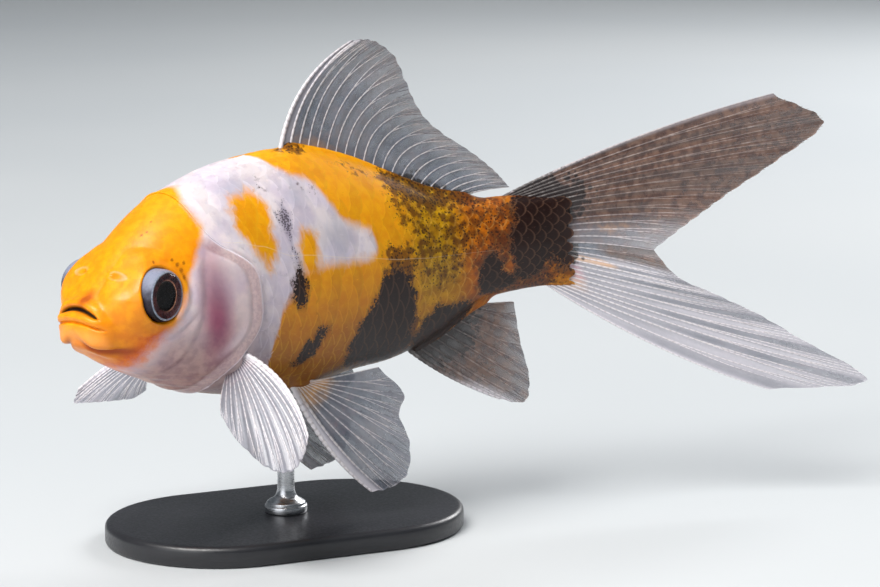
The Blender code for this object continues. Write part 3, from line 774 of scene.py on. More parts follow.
def scale_grid():
    """Places along a scale, 0 at its root and 1 at its free edge, and across it, -1 to 1."""
    a, b = np.meshgrid(np.linspace(0.0, 1.0, SCALE_STEPS),
                       np.sin(np.linspace(-0.5, 0.5, SCALE_SPREAD) * math.pi), indexing="ij")
    return 1.0 - (1.0 - a) ** 1.35, b


def scale_faces():
    """The faces of one scale as a closed plate, and the vertices of its upper rim."""
    count = SCALE_STEPS * SCALE_SPREAD
    top = grid_faces(SCALE_STEPS, SCALE_SPREAD, False)
    rim = rim_of(np.arange(count).reshape(SCALE_STEPS, SCALE_SPREAD).T)
    after = np.roll(rim, -1)
    wall = np.stack([rim, after, after + count, rim + count], axis=-1)
    return np.concatenate([top, top[:, ::-1] + count, wall]), rim


def scale_spots(side, row, root, wobble, a, b):
    """The station and the angle under each point of a scale."""
    length = SCALE_LENGTH * (0.42 + 0.58 * np.sqrt(1.0 - 0.98 * b ** 2)) * (1.0 + 0.4 * wobble[0])
    station = root + a * length
    width = 0.5 * (row_share(min(row + 1, LAST_ROW), station) - row_share(max(row - 1, 0), station))
    if row in (0, LAST_ROW):
        width = width * 2.0
    share = row_share(row, station) + b * width * (1.03 + 0.1 * wobble[1])
    angle = lookup(ANGLE_AT_SHARE, station, np.where(share > 1.0, 2.0 - share, np.abs(share)))
    crossed = np.where((share < 0.0) | (share > 1.0), -1.0, 1.0)
    return station, angle * crossed * side


def scale_points(row, station, angle, a, b):
    """The points of a scale's upper face and then of its lower face."""
    height = -SCALE_INSET - 0.03 + SCALE_RISE * a * (1.0 - 0.14 * b ** 2)
    height += 0.05 * hump(b, 0.1) * (row == ROWS_ABOVE) * ramp(a, 0.3, 0.5)
    height -= 0.012 * ramp(a, 0.8, 1.0)
    height -= 0.7 * fall(station - cover_edge(angle), -0.1, 1.0)
    height += (SCALE_INSET + 0.1) * ramp(station, 76.6, 80.5)
    base = surface(station, angle)
    normal = surface_normal(station, angle)
    height = height + fin_base_relief(base[..., 0], base[..., 1], base[..., 2])
    thick = 0.07 - 0.045 * ramp(a, 0.6, 1.0)
    return np.concatenate([(base + normal * level[..., None]).reshape(-1, 3)
                           for level in (height, height - thick)])


def bake_spots(side, row, root, a, b):
    """A scale's own small patch in the map for baking."""
    middle = float(lookup(ANGLE_AT_SHARE, np.array(root), row_share(row, np.array(root))))
    u, v = root / MAP_END, 0.5 + 0.5 * side * middle / math.pi
    spots = np.stack([u + BAKE_PATCH * (a - 0.5), v + 0.5 * BAKE_PATCH * b], axis=-1)
    return np.tile(spots.reshape(-1, 2), (2, 1))


def finish_scales(mesh, rim, count, spots):
    """Marks the rims of the scales' faces as sharp, and adds the map for baking."""
    pairs = np.zeros(2 * len(mesh.edges), np.int32)
    mesh.edges.foreach_get("vertices", pairs)
    pairs = pairs.reshape(-1, 2) % (2 * count)
    one_face = (pairs[:, 0] < count) == (pairs[:, 1] < count)
    mesh.edges.foreach_set("use_edge_sharp", np.isin(pairs % count, rim).all(axis=1) & one_face)
    corners = np.zeros(len(mesh.loops), np.int32)
    mesh.loops.foreach_get("vertex_index", corners)
    layer = mesh.uv_layers.new(name="OFBake")
    layer.data.foreach_set("uv", spots[corners].astype(np.float32).reshape(-1))


def make_scales(finish):
    """Overlapping scales as thin closed plates, one piece for each side of the fish."""
    a, b = scale_grid()
    plate, rim = scale_faces()
    count = a.size
    net = np.maximum(ramp(a, 0.84, 1.0), ramp(np.abs(b), 0.8, 1.0) * ramp(a, 0.3, 0.6))
    pieces = []
    for name, wanted in (("scales_left", -1), ("scales_right", 1)):
        points, stations, angles, tones, maps = [], [], [], [], []
        for side, row, root in scale_places():
            tone = rng.random()
            wobble = rng.normal(0.0, 0.05, 2)
            if side != wanted:
                continue
            station, angle = scale_spots(side, row, root, wobble, a, b)
            points.append(scale_points(row, station, angle, a, b))
            stations.append(np.tile(station.reshape(-1), 2))
            angles.append(np.tile(angle.reshape(-1), 2))
            tones.append(np.full(2 * count, tone))
            maps.append(bake_spots(side, row, root, a, b))
        facing = plate if wanted < 0 else plate[:, ::-1]
        faces = np.concatenate([facing + 2 * count * k for k in range(len(points))])
        attributes = pigments(np.concatenate(stations), np.concatenate(angles))
        attributes["net"] = np.tile(net.reshape(-1), 2 * len(points))
        attributes["tone"] = np.concatenate(tones)
        piece = mesh_piece(name, place(np.concatenate(points)), faces, finish, attributes)
        finish_scales(piece.data, rim, count, np.concatenate(maps))
        pieces.append(piece)
    return pieces


# ---- materials

def tint(red, green, blue):
    """A linear colour from the 0 to 255 values of a screen."""
    linear = [(c / 255.0) ** 2.2 for c in (red, green, blue)]
    return (*linear, 1.0)


class Finish:
    """A material and short calls for the nodes in it. A value is a number, a socket or a colour,
    and a colour can be the three 0 to 255 values of a screen."""

    def __init__(self, name):
        self.material = bpy.data.materials.new(name)
        self.material.use_nodes = True
        self.tree = self.material.node_tree
        self.tree.nodes.clear()
        self.where = self.node("ShaderNodeTexCoord").outputs["Object"]

    def node(self, kind, values=None, **settings):
        made = self.tree.nodes.new(kind)
        for key, value in settings.items():
            setattr(made, key, value)
        for key, value in (values or {}).items():
            if isinstance(value, bpy.types.NodeSocket):
                self.tree.links.new(value, made.inputs[key])
            else:
                made.inputs[key].default_value = value
        return made

    def math(self, operation, first, second=0.0):
        return self.node("ShaderNodeMath", {0: first, 1: second}, operation=operation).outputs[0]

    def sum(self, first, second):
        return self.math("ADD", first, second)

    def times(self, first, second):
        return self.math("MULTIPLY", first, second)

    def amount(self, name, share=None):
        """A float stored on the mesh, or a share of it."""
        value = self.node("ShaderNodeAttribute", attribute_name=name).outputs["Fac"]
        return value if share is None else self.times(value, share)

    def sway(self, noise, share):
        """Noise moved to lie evenly about 0, times a share."""
        return self.times(self.sum(noise, -0.5), share)

    def ramp(self, value, low, high, start=0.0, end=1.0):
        """A smooth step from start at low to end at high."""
        made = self.node("ShaderNodeMapRange", {"Value": value, "From Min": low, "From Max": high,
                                                "To Min": start, "To Max": end},
                         interpolation_type="SMOOTHSTEP")
        return made.outputs["Result"]

    def mix(self, share, first, second):
        """The first colour where the share is 0, and the second where it is 1."""
        a, b = [tint(*each) if isinstance(each, tuple) else each for each in (first, second)]
        return self.node("ShaderNodeMix", {0: share, 6: a, 7: b}, data_type="RGBA").outputs[2]

    def between(self, value, low, high, first, second):
        """The first colour where the value is low, the second where it is high."""
        return self.mix(self.ramp(value, low, high), first, second)

    def noise(self, size, detail, shift=0.0, stretch=None):
        """Soft noise, 0 to 1, with features of about the given size in millimetres."""
        where = self.where
        if stretch or shift:
            moved = {"Vector": where, "Location": (shift,) * 3, "Scale": stretch or (1.0,) * 3}
            where = self.node("ShaderNodeMapping", moved).outputs[0]
        made = self.node("ShaderNodeTexNoise", {"Vector": where, "Scale": 1.0 / (size * MM),
                                                "Detail": detail, "Roughness": 0.55})
        return made.outputs["Fac"]

    def specks(self, size):
        """The distance to the nearest of many scattered points, in units of their spacing."""
        made = self.node("ShaderNodeTexVoronoi", {"Vector": self.where, "Scale": 1.0 / (size * MM),
                                                  "Randomness": 1.0})
        return made.outputs["Distance"]

    def bump(self, height, depth, strength):
        """A normal from a height of 0 to 1 that stands for the depth in millimetres."""
        values = {"Height": height, "Distance": depth * MM, "Strength": strength}
        return self.node("ShaderNodeBump", values).outputs["Normal"]

    def shade(self, colour, roughness, normal=None, **settings):
        """The Principled shader. Settings are its sockets' names with _ for spaces."""
        values = {"Base Color": colour, "Roughness": roughness}
        if normal is not None:
            values["Normal"] = normal
        for key, value in settings.items():
            values[key.replace("_", " ")] = value
        shader = self.node("ShaderNodeBsdfPrincipled", values)
        shader.subsurface_method = "RANDOM_WALK"
        output = self.node("ShaderNodeOutputMaterial")
        self.tree.links.new(shader.outputs["BSDF"], output.inputs["Surface"])
        return self.material


def pearl_coat(f, broad, middle, net):
    """The pearly skin, darker on the belly with a dusky colour of its own and painted shade, with
    pale rims to the scales.
    """
    pearl = f.between(broad, 0.35, 0.65, (212, 197, 210), (236, 221, 222))
    pearl = f.mix(f.ramp(middle, 0.5, 0.74, 0.0, 0.35), pearl, (186, 172, 190))
    # Darker towards the belly: partly a duskier colour of its own, partly painted shade
    dusky = f.between(broad, 0.3, 0.7, (136, 108, 110), (160, 132, 128))
    pearl = f.mix(f.amount("shade", 0.85), pearl, dusky)
    return f.mix(f.times(net, 0.22), pearl, (240, 228, 234))


def warm_coat(f, broad, middle, net):
    """The golden skin, which turns orange, olive and rusty from place to place, and darker brown
    towards the belly, partly its own colour and partly painted shade.
    """
    golden = f.between(middle, 0.35, 0.68, (243, 152, 14), (249, 166, 26))
    deep = f.between(middle, 0.35, 0.68, (200, 78, 8), (224, 114, 12))
    # Darker brown towards the belly: partly its own colour, partly painted shade
    shaded = f.between(broad, 0.3, 0.7, (124, 70, 4), (96, 52, 8))
    olive = f.between(middle, 0.35, 0.65, (134, 104, 26), (176, 140, 40))
    rust = f.between(middle, 0.32, 0.66, (112, 56, 30), (172, 92, 44))
    rusty = f.times(f.amount("rust"), f.ramp(broad, 0.3, 0.62, 0.62, 0.96))
    warm = golden
    for share, layer in ((f.amount("orange"), deep), (f.amount("shade", 0.88), shaded),
                         (f.amount("olive", 0.75), olive), (rusty, rust)):
        warm = f.mix(share, warm, layer)
    return f.mix(f.times(net, 0.18), warm, (255, 206, 120))


def head_marks(f, colour, broad, middle, fine):
    """The colours of the cheek, the gill cover and the lips, and the snout's smudge with painted
    shade under the lower lip and in the nostril pits, laid over the coat.
    """
    veil = f.between(middle, 0.35, 0.65, (142, 106, 106), (176, 140, 132))
    flange = f.between(fine, 0.35, 0.65, (186, 160, 162), (206, 180, 178))
    flush = f.between(broad, 0.3, 0.7, (118, 36, 74), (148, 58, 94))
    for name, share, layer in (
            ("veil", 0.8, veil), ("flange", 0.85, flange), ("flush", 0.92, flush),
            # The last is the snout's dark smudge together with painted shade under the lower lip
            # and in the nostril pits
            ("lips", 0.62, (240, 162, 92)), ("smudge_and_painted_shade", 0.78, (150, 52, 22))):
        colour = f.mix(f.amount(name, share), colour, layer)
    return colour


def dark_marks(f, colour, ragged, dotted, middle, net):
    """The grey patches, the brown mottling and specks, and the black patches."""
    grey = f.sum(f.amount("grey"), f.times(ragged, 0.5))
    colour = f.mix(f.ramp(grey, 0.1, 0.9, 0.0, 0.75), colour, (140, 130, 148))
    colour = f.mix(f.amount("haze", 0.55), colour, (176, 172, 186))
    grains = f.math("SUBTRACT", f.times(grey, 0.62), f.specks(0.3))
    colour = f.mix(f.ramp(grains, -0.02, 0.1, 0.0, 0.8), colour, (66, 54, 62))
    mottle = f.sum(f.amount("dots", 0.42), f.noise(1.15, 5.0, 3.0))
    colour = f.mix(f.ramp(mottle, 0.68, 0.9, 0.0, 0.8), colour, (78, 42, 24))
    speck = f.math("SUBTRACT", f.amount("dots", 0.5), f.specks(0.46))
    speck = f.sum(speck, f.sway(middle, 0.75))
    colour = f.mix(f.ramp(speck, 0.0, 0.14, 0.0, 0.85), colour, (48, 28, 20))
    black = f.amount("black")
    colour = f.mix(f.ramp(f.sum(black, ragged), -0.5, 0.05, 0.0, 0.45), colour, (96, 66, 48))
    ink = f.ramp(f.sum(black, f.sum(ragged, dotted)), -0.02, 0.18)
    return f.mix(ink, colour, f.mix(f.times(net, 0.34), (36, 19, 15), (112, 82, 66)))


def skin_finish():
    """Calico skin: pigments, with some painted shade, under a thin clear slime coat, the same on
    the skin and the scales.
    """
    f = Finish("calico_skin")
    broad = f.noise(4.5, 3.0)
    middle = f.noise(1.3, 4.0)
    fine = f.noise(0.45, 3.0)
    stipple = f.noise(0.3, 1.5)
    ragged = f.sum(f.sway(middle, 0.8), f.sway(broad, 0.8))
    dotted = f.sway(stipple, 1.5)
    net = f.ramp(f.amount("net"), 0.25, 0.95)

    edge = f.sum(f.amount("yellow"), f.sum(f.times(ragged, 0.5), f.times(dotted, 0.1)))
    colour = f.mix(f.ramp(edge, 0.08, 0.92), pearl_coat(f, broad, middle, net),
                   warm_coat(f, broad, middle, net))
    colour = head_marks(f, colour, broad, middle, fine)
    colour = dark_marks(f, colour, ragged, dotted, middle, net)
    freckle = f.ramp(f.sum(f.amount("freckle"), f.sway(stipple, 0.5)), 0.4, 0.95, 0.0, 0.7)
    colour = f.mix(freckle, colour, (112, 58, 16))
    colour = f.mix(f.ramp(f.amount("seam"), 0.02, 0.1, 0.26, 0.0), colour, (246, 222, 190))
    colour = f.mix(f.amount("pale", 0.72), colour, (236, 222, 230))
    # Painted shade: near black in the groove of the fold over the mouth
    colour = f.mix(f.amount("mouth"), colour, (34, 18, 12))
    brightness = f.ramp(f.amount("tone"), 0.0, 1.0, 0.91, 1.06)
    toned = f.node("ShaderNodeHueSaturation",
                   {"Color": colour, "Saturation": 1.04, "Value": brightness})

    pores = f.ramp(f.specks(0.9), 0.0, 0.24)
    relief_height = f.sum(f.times(fine, 0.5), f.times(pores, 0.35))
    rough = f.sum(f.ramp(fine, 0.3, 0.7, 0.32, 0.46), f.times(net, 0.14))
    return f.shade(toned.outputs["Color"], rough, f.bump(relief_height, 0.035, 0.6),
                   Subsurface_Weight=0.16, Subsurface_Radius=(1.0, 0.42, 0.28),
                   Subsurface_Scale=0.0012, Coat_Weight=0.12, Coat_Roughness=0.2,
                   Specular_IOR_Level=0.32)


def fin_colour(f):
    """The colours that the membranes and the rays of the fins share, and the noise in them."""
    broad = f.noise(5.0, 3.0)
    middle = f.noise(1.2, 3.0)
    streak = f.sum(f.sway(middle, 0.8), f.sway(broad, 0.8))
    colour = f.between(broad, 0.35, 0.65, (84, 92, 106), (112, 116, 128))
    brown = f.between(middle, 0.35, 0.65, (80, 58, 52), (116, 90, 78))
    # Gold and rose are pigment on most fins, and painted glints on the inner rays of the tail fin's
    # upper lobe
    for name, sway, low, high, share, layer in (
            ("smoke", 0.5, 0.1, 0.9, 1.0, brown), ("gold", 0.4, 0.2, 0.8, 0.9, (232, 160, 48)),
            ("rose", 0.4, 0.25, 0.8, 0.85, (206, 112, 128))):
        value = f.sum(f.amount(name), f.times(streak, sway))
        colour = f.mix(f.ramp(value, low, high, 0.0, share), colour, layer)
    colour = f.mix(f.ramp(f.amount("milk"), 0.05, 0.95), colour, (226, 220, 228))
    ink = f.math("SUBTRACT", f.amount("ink"), f.times(f.specks(0.8), 0.75))
    ink = f.sum(ink, f.times(streak, 0.5))
    return f.mix(f.ramp(ink, 0.05, 0.3, 0.0, 0.92), colour, (32, 24, 26)), middle


def fin_surface(f, colour, opacity, fine, smoothest):
    """The wet surface that the membranes and the rays share."""
    return f.shade(colour, f.ramp(fine, 0.3, 0.7, smoothest, 0.42), f.bump(fine, 0.02, 0.5),
                   Alpha=opacity, Subsurface_Weight=0.0, Coat_Weight=0.25, Coat_Roughness=0.12)


def membrane_finish():
    """The thin skin between the rays of a fin."""
    f = Finish("fin_membrane")
    colour, middle = fin_colour(f)
    body = f.sum(f.amount("body"), f.sway(middle, 0.22))
    return fin_surface(f, colour, f.ramp(body, 0.0, 1.0, 0.16, 0.97), f.noise(0.35, 3.0), 0.26)


def ray_finish():
    """The jointed bony rays of the fins."""
    f = Finish("fin_rays")
    colour, middle = fin_colour(f)
    colour = f.mix(f.amount("joint", 0.45), colour, (92, 72, 70))
    pale = f.ramp(f.sum(middle, f.amount("smoke", -0.35)), 0.1, 0.7, 0.1, 0.5)
    opacity = f.ramp(f.amount("body"), 0.0, 1.0, 0.55, 1.0)
    return fin_surface(f, f.mix(pale, colour, (226, 218, 214)), opacity, f.noise(0.3, 3.0), 0.28)


def eye_finish():
    """The black pupil, the ring round it, the dark iris, its pale rim and the wall of the eye, with
    a painted reflection, pale blue-grey, on its top and painted shade, near black, below.
    """
    f = Finish("eye_ball")
    reach = f.amount("reach")
    fine = f.noise(0.3, 4.0)
    fibres = f.noise(0.8, 4.0)
    waver = f.sum(reach, f.sway(fibres, 0.14))
    iris = f.between(fibres, 0.35, 0.68, (38, 22, 30), (84, 46, 46))
    ring = f.between(fine, 0.35, 0.65, (140, 88, 74), (190, 138, 108))
    ring = f.mix(f.ramp(f.amount("rear"), -0.4, 0.7), iris, ring)
    colour = f.mix(f.ramp(waver, 2.12, 2.18), (5, 4, 7), ring)
    colour = f.mix(f.ramp(waver, 2.24, 2.38), colour, iris)
    rim = f.between(fine, 0.3, 0.7, (118, 126, 140), (158, 166, 180))
    colour = f.mix(f.ramp(waver, 3.14, 3.3), colour, rim)
    # Painted light on the wall: a pale blue-grey painted reflection towards the top, and near black
    # painted shade towards the bottom
    level = f.sum(f.amount("up"), f.sway(fibres, 2.2))
    wall = f.between(level, -0.4, 3.2, (50, 46, 54), (132, 136, 154))
    wall = f.mix(f.ramp(level, -1.0, -2.9), wall, (22, 19, 23))
    colour = f.mix(f.ramp(reach, 3.5, 3.7), colour, wall)
    return f.shade(colour, f.ramp(fine, 0.3, 0.7, 0.22, 0.38), f.bump(fine, 0.02, 0.4),
                   Specular_IOR_Level=0.12)


def cornea_finish():
    """The clear dome over the eye: see-through, and bright where it mirrors the lights."""
    f = Finish("eye_cornea")
    facing = f.node("ShaderNodeLayerWeight", {"Blend": 0.5}).outputs["Facing"]
    gloss = f.times(f.math("POWER", facing, 5.0), 0.7)
    tone = f.between(f.noise(2.0, 2.0), 0.2, 0.8, (226, 232, 240), (240, 244, 248))
    return f.shade(tone, 0.05, None, Metallic=1.0, Alpha=gloss)


def base_finish():
    """Satin black lacquer with a fine grain."""
    f = Finish("stand_base_lacquer")
    fine = f.noise(0.35, 3.0)
    broad = f.noise(14.0, 3.0)
    colour = f.between(broad, 0.3, 0.7, (34, 34, 37), (44, 44, 48))
    return f.shade(colour, f.ramp(f.sum(fine, f.times(broad, 0.4)), 0.4, 1.0, 0.3, 0.48),
                   f.bump(fine, 0.03, 0.35), Coat_Weight=0.15, Coat_Roughness=0.25)


def rod_finish():
    """Steel, brushed round the rod."""
    f = Finish("stand_rod_steel")
    lines = f.noise(1.0, 4.0, 0.0, (0.5, 0.5, 14.0))
    colour = f.between(lines, 0.3, 0.7, (168, 170, 174), (204, 205, 208))
    return f.shade(colour, f.ramp(lines, 0.3, 0.7, 0.22, 0.38), f.bump(lines, 0.01, 0.5),
                   Metallic=1.0)


def floor_finish():
    """A pale, even studio floor."""
    f = Finish("studio_floor")
    broad = f.noise(260.0, 2.0)
    colour = f.between(broad, 0.3, 0.7, (186, 190, 193), (192, 195, 197))
    return f.shade(colour, 0.75)


# ---- fins

RAY_SIDES = 6
JOINT_LENGTH = 0.95


def spline(points, fraction):
    """Points on a smooth curve through the given points, evenly shared from 0 to 1."""
    points = np.asarray(points, float)
    spans = len(points) - 1
    before = np.concatenate([[2.0 * points[0] - points[1]], points[:-1]])
    after = np.concatenate([points[1:], [2.0 * points[-1] - points[-2]]])
    k = np.clip((fraction * spans).astype(int), 0, spans - 1)
    t = (fraction * spans - k)[..., None]
    rise = points[k + 1] - points[k]
    leaving = 0.5 * (points[k + 1] - before[k]) - rise
    arriving = rise - 0.5 * (after[k + 1] - points[k])
    return points[k] + t * rise + t * (1.0 - t) * ((1.0 - t) * leaving + t * arriving)


def ridge_root(ridge, lift, start, end, count):
    """Points just clear of the back's or the belly's ridge, from one station to another."""
    stations = np.linspace(start, end, count + 1)
    return [(station, 0.0, float(ridge(station)) + lift) for station in stations]


def side_root(side, *spots):
    """Points just off the body's side, at (station, height) spots."""
    return [(station, side * (float(side_offset(np.array(station), np.array(z))) + 0.75), z)
            for station, z in spots]


def midline(*spots):
    """Points on the fish's middle plane, at (station, height) spots."""
    return [(station, 0.0, z) for station, z in spots]


def to_side(side, *points):
    """Fish coordinates with their sideways part turned to the given side."""
    return [(station, side * y, z) for station, y, z in points]


class Fin:
    """A fin as a fan of rays. Its root, its tips and its bow are curves over the place across, 0 to
    1. Its paint gives the pigments, and the painted glints, that aren't zero, by the place across
    and out."""

    def __init__(self, name, root, tips, bows, rays, lead, fork, paint, wave=0.35, bone=0.16):
        self.name, self.paint = name, paint
        self.root, self.tips, self.bows = root, tips, bows
        self.rays, self.lead, self.fork, self.wave, self.bone = rays, lead, fork, wave, bone

    def flat(self, across, out):
        """The fin's middle surface without its folds."""
        root, tip, bow = [spline(line, across) for line in (self.root, self.tips, self.bows)]
        out = out[..., None]
        return root + (tip - root) * out + bow * (4.0 * out * (1.0 - out))

    def normal(self, across, out):
        small = 0.01
        aside = self.flat(unit(across + small), out) - self.flat(unit(across - small), out)
        ahead = self.flat(across, out + small) - self.flat(across, out - small)
        return direction(np.cross(ahead, aside))

    def point(self, across, out):
        """The fin's middle surface, with its gentle folds."""
        folds = np.sin(across * 9.0 + out * 2.4 + 0.7) + 0.5 * np.sin(across * 21.0 - out * 4.0)
        lift = self.wave * folds * unit(out) ** 1.3
        return self.flat(across, out) + self.normal(across, out) * lift[..., None]

    def between(self, across):
        """0 on a ray, and 1 halfway to the next."""
        return 0.5 - 0.5 * np.cos(2.0 * math.pi * (across * self.rays))

    def painted(self, across, out):
        """Every pigment and painted glint, at places across and out."""
        return {**dict.fromkeys(("smoke", "milk", "gold", "rose", "ink"), 0.0),
                **self.paint(across, unit(out))}


def tube(centres, normals, across, thick):
    """Rings round a line of points, as (points, RAY_SIDES, 3)."""
    ahead = direction(np.gradient(centres, axis=0))
    aside = direction(np.cross(ahead, normals))
    upward = np.cross(aside, ahead)
    turn = (np.arange(RAY_SIDES) * (2.0 * math.pi / RAY_SIDES))[None, :, None]
    return (centres[:, None] + aside[:, None] * (np.cos(turn) * across[:, None, None])
            + upward[:, None] * (np.sin(turn) * thick[:, None, None]))


def make_membrane(fin, finish):
    """The closed thin sheet of a fin, scalloped between the ends of the rays."""
    columns, rows = fin.rays * 8 + 1, 64
    u, v = np.meshgrid(np.linspace(0.0, 1.0, columns), np.linspace(0.0, 1.0, rows), indexing="ij")
    gap = fin.between(u)
    ends = 1.0 - 0.006 - 0.008 * gap - 0.006 * (0.5 + 0.5 * np.sin(u * 97.0 + 1.3)) * gap
    out = -0.09 + v * (ends + 0.09)
    normal = fin.normal(u, out)
    sag = 0.1 * np.sin(u * fin.rays * math.pi + 0.5) * gap * ramp(out, 0.0, 0.3)
    middle = fin.point(u, out) + normal * sag[..., None]
    thick = (0.028 + 0.035 * fall(out, 0.0, 0.7))[..., None]
    points = np.concatenate([(middle + normal * thick).reshape(-1, 3),
                             (middle - normal * thick).reshape(-1, 3)])
    top = grid_faces(columns, rows, False)
    count = columns * rows
    rim = rim_of(np.arange(count).reshape(columns, rows))
    after = np.roll(rim, -1)
    wall = np.stack([after, rim, rim + count, after + count], axis=-1)
    faces = np.concatenate([top, top[:, ::-1] + count, wall])
    values = fin.painted(u, out)
    on_ray = fall(gap, 0.0, 0.35)
    values["milk"] = unit(values["milk"] + 0.1 * on_ray)
    values["body"] = unit(values["body"] + 0.25 * fall(out, -0.02, 0.16) + 0.12 * on_ray)
    attributes = {key: np.tile((grid + 0.0 * u).reshape(-1), 2) for key, grid in values.items()}
    return mesh_piece(fin.name + "_membrane", place(points), faces, finish, attributes)


def ray_paths(fin):
    """Each ray and branch: its place across, how far it spreads and from where out, where it starts
    and ends, its size there and its taper."""
    paths = []
    for k in range(fin.rays + 1):
        middle = k / fin.rays
        lean = fin.lead * math.exp(-k / 1.1)
        size = fin.bone + 0.33 * lean
        start = fin.fork + 0.05 * math.sin(k * 2.3)
        if k in (0, fin.rays) or lean > 0.3:
            paths.append((middle, 0.0, 0.0, -0.1, 0.995, size, 0.35))
            continue
        reach = 0.27 / fin.rays
        paths.append((middle, 0.0, 0.0, -0.1, start + 0.02, size, 0.66))
        for way in (-1.0, 1.0):
            again = 0.5 * (start + 1.0) + 0.03 * math.sin(k * 3.1 + way)
            spread = way * reach
            paths.append((middle, spread, start, start - 0.02, again + 0.02, size * 0.66, 0.75))
            branch = middle + spread * ramp(again, start, 1.0) ** 0.6
            for turn in (-1.0, 1.0):
                twig = spread * 0.25 + turn * 0.13 / fin.rays
                paths.append((branch, twig, again, again - 0.01, 0.996, size * 0.48, 0.45))
    return paths


def make_rays(fin, finish):
    """The jointed rays of a fin, each parting in two on its way out, and in two again."""
    points, quads, caps, found, start = [], [], [], {}, 0
    for middle, spread, parting, first, last, size, taper in ray_paths(fin):
        tip, root = [spline(line, np.array(middle)) for line in (fin.tips, fin.root)]
        joints = max(4, int(np.linalg.norm(tip - root) * (last - first) / JOINT_LENGTH))
        count = joints * 4 + 1
        out = np.linspace(first, last, count)
        across = unit(middle + spread * ramp(out, parting, 1.0) ** 0.6)
        share = (out - first) / (last - first)
        joint = np.where(np.arange(count) % 4 == 0, 1.0, 0.0)
        width = size * (1.0 - (1.0 - taper) * share) * (1.0 - 0.22 * joint)
        width[-1] *= 0.3
        rings = tube(fin.point(across, out), fin.normal(across, out), width, width * 0.92)
        points.append(rings.reshape(-1, 3))
        ring = start + np.arange(RAY_SIDES)
        quads.append(grid_faces(count, RAY_SIDES, True) + start)
        caps += [ring[::-1], ring + (count - 1) * RAY_SIDES]
        start += count * RAY_SIDES
        values = fin.painted(across, out)
        values["joint"] = joint * ramp(out, 0.02, 0.12)
        values["milk"] = np.clip(values["milk"] + 0.36 - 0.22 * values["smoke"], 0.0, 0.9)
        values["body"] = unit(1.15 - 0.35 * ramp(out, 0.3, 1.0))
        for key, value in values.items():
            found.setdefault(key, []).append(np.repeat(value + 0.0 * out, RAY_SIDES))
    attributes = {key: np.concatenate(value) for key, value in found.items()}
    groups = [np.concatenate(quads), np.array(caps)]
    return mesh_piece(fin.name + "_rays", place(np.concatenate(points)), groups, finish, attributes)


# The pigments of each fin that aren't zero, with painted glints on the tail fin's upper lobe, at u
# across, from the leading edge, and v out

def dorsal_paint(u, v):
    lead = fall(u, 0.03, 0.09)
    return {"smoke": 0.25 + 0.25 * ramp(v, 0.5, 1.0), "milk": 0.3 * lead + 0.1 * (1.0 - v),
            "gold": 0.4 * hump(u - 0.2, 0.2) * fall(v, 0.02, 0.16)
            + 0.25 * ramp(u, 0.5, 0.9) * fall(v, 0.1, 0.6),
            "ink": 0.75 * ramp(u, 0.5, 0.7) * fall(v, 0.04, 0.3),
            "body": 0.58 + 0.3 * lead - 0.2 * ramp(v, 0.4, 1.0)}


def caudal_upper_paint(u, v):
    inner = ramp(u, 0.62, 0.95)
    top = fall(u, 0.01, 0.035)
    return {"smoke": 0.95 - 0.45 * inner, "milk": 0.3 * top + 0.24 * inner,
            # Painted glints: gold and rose on the inner rays near the fork
            "gold": 0.35 * hump(u - 0.86, 0.1) * hump(v - 0.45, 0.3),
            "rose": 0.3 * inner * hump(v - 0.6, 0.3),
            "ink": 0.8 * fall(v, 0.0, 0.26) * (1.0 - inner) + 0.1,
            "body": 0.84 - 0.22 * ramp(v, 0.3, 1.0) - 0.24 * inner + 0.1 * top}


def caudal_lower_paint(u, v):
    dashes = 0.5 + 0.5 * np.sin(v * 95.0 + 3.0 * np.sin(u * 41.0))
    middle = ramp(u, 0.25, 0.45) * fall(u, 0.88, 0.98) * ramp(v, 0.1, 0.2) * fall(v, 0.75, 0.95)
    inner = fall(u, 0.06, 0.24)
    stripes = 0.15 * np.sin(u * 44.0) * ramp(v, 0.2, 0.5)
    return {"smoke": 0.85 * inner * ramp(v, 0.25, 0.5) + 0.12,
            "milk": 0.46 + 0.15 * ramp(u, 0.9, 0.98) - 0.36 * inner + stripes,
            "gold": 0.95 * hump(u - 0.24, 0.06) * fall(v, 0.25, 0.5)
            + 0.7 * hump(u - 0.62, 0.25) * fall(v, 0.02, 0.14),
            "rose": middle * (0.08 + 0.24 * dashes)
            + 0.75 * hump(u - 0.45, 0.22) * fall(v, 0.03, 0.15),
            "ink": 0.85 * fall(u, 0.2, 0.5) * fall(v, 0.02, 0.22),
            "body": 0.55 - 0.1 * ramp(v, 0.5, 1.0) + 0.25 * ramp(u, 0.93, 1.0)}


def anal_paint(u, v):
    rear = ramp(u, 0.5, 0.9)
    return {"smoke": 0.85 - 0.3 * ramp(v, 0.5, 1.0),
            "milk": 0.6 * fall(u, 0.04, 0.3) * ramp(v, 0.35, 0.8),
            "gold": 0.25 * rear * (1.0 - v), "rose": 0.15 * rear,
            "ink": 0.95 * fall(v, 0.12, 0.5) * (1.0 - 0.5 * rear),
            "body": 0.68 - 0.22 * ramp(v, 0.4, 1.0)}


def pectoral_paint(u, v):
    lead = fall(u, 0.04, 0.12)
    return {"smoke": 0.24, "milk": 0.32 + 0.25 * lead, "rose": 0.12 + 0.25 * fall(v, 0.0, 0.3),
            "body": 0.68 + 0.25 * lead - 0.14 * ramp(v, 0.4, 1.0)}


def pelvic_paint(u, v):
    lead = fall(u, 0.04, 0.12)
    return {"smoke": 0.22, "milk": 0.16 + 0.45 * lead, "gold": 0.55 * fall(v, 0.04, 0.34),
            "rose": 0.3 * hump(v - 0.4, 0.2), "body": 0.62 + 0.3 * lead - 0.12 * ramp(v, 0.4, 1.0)}


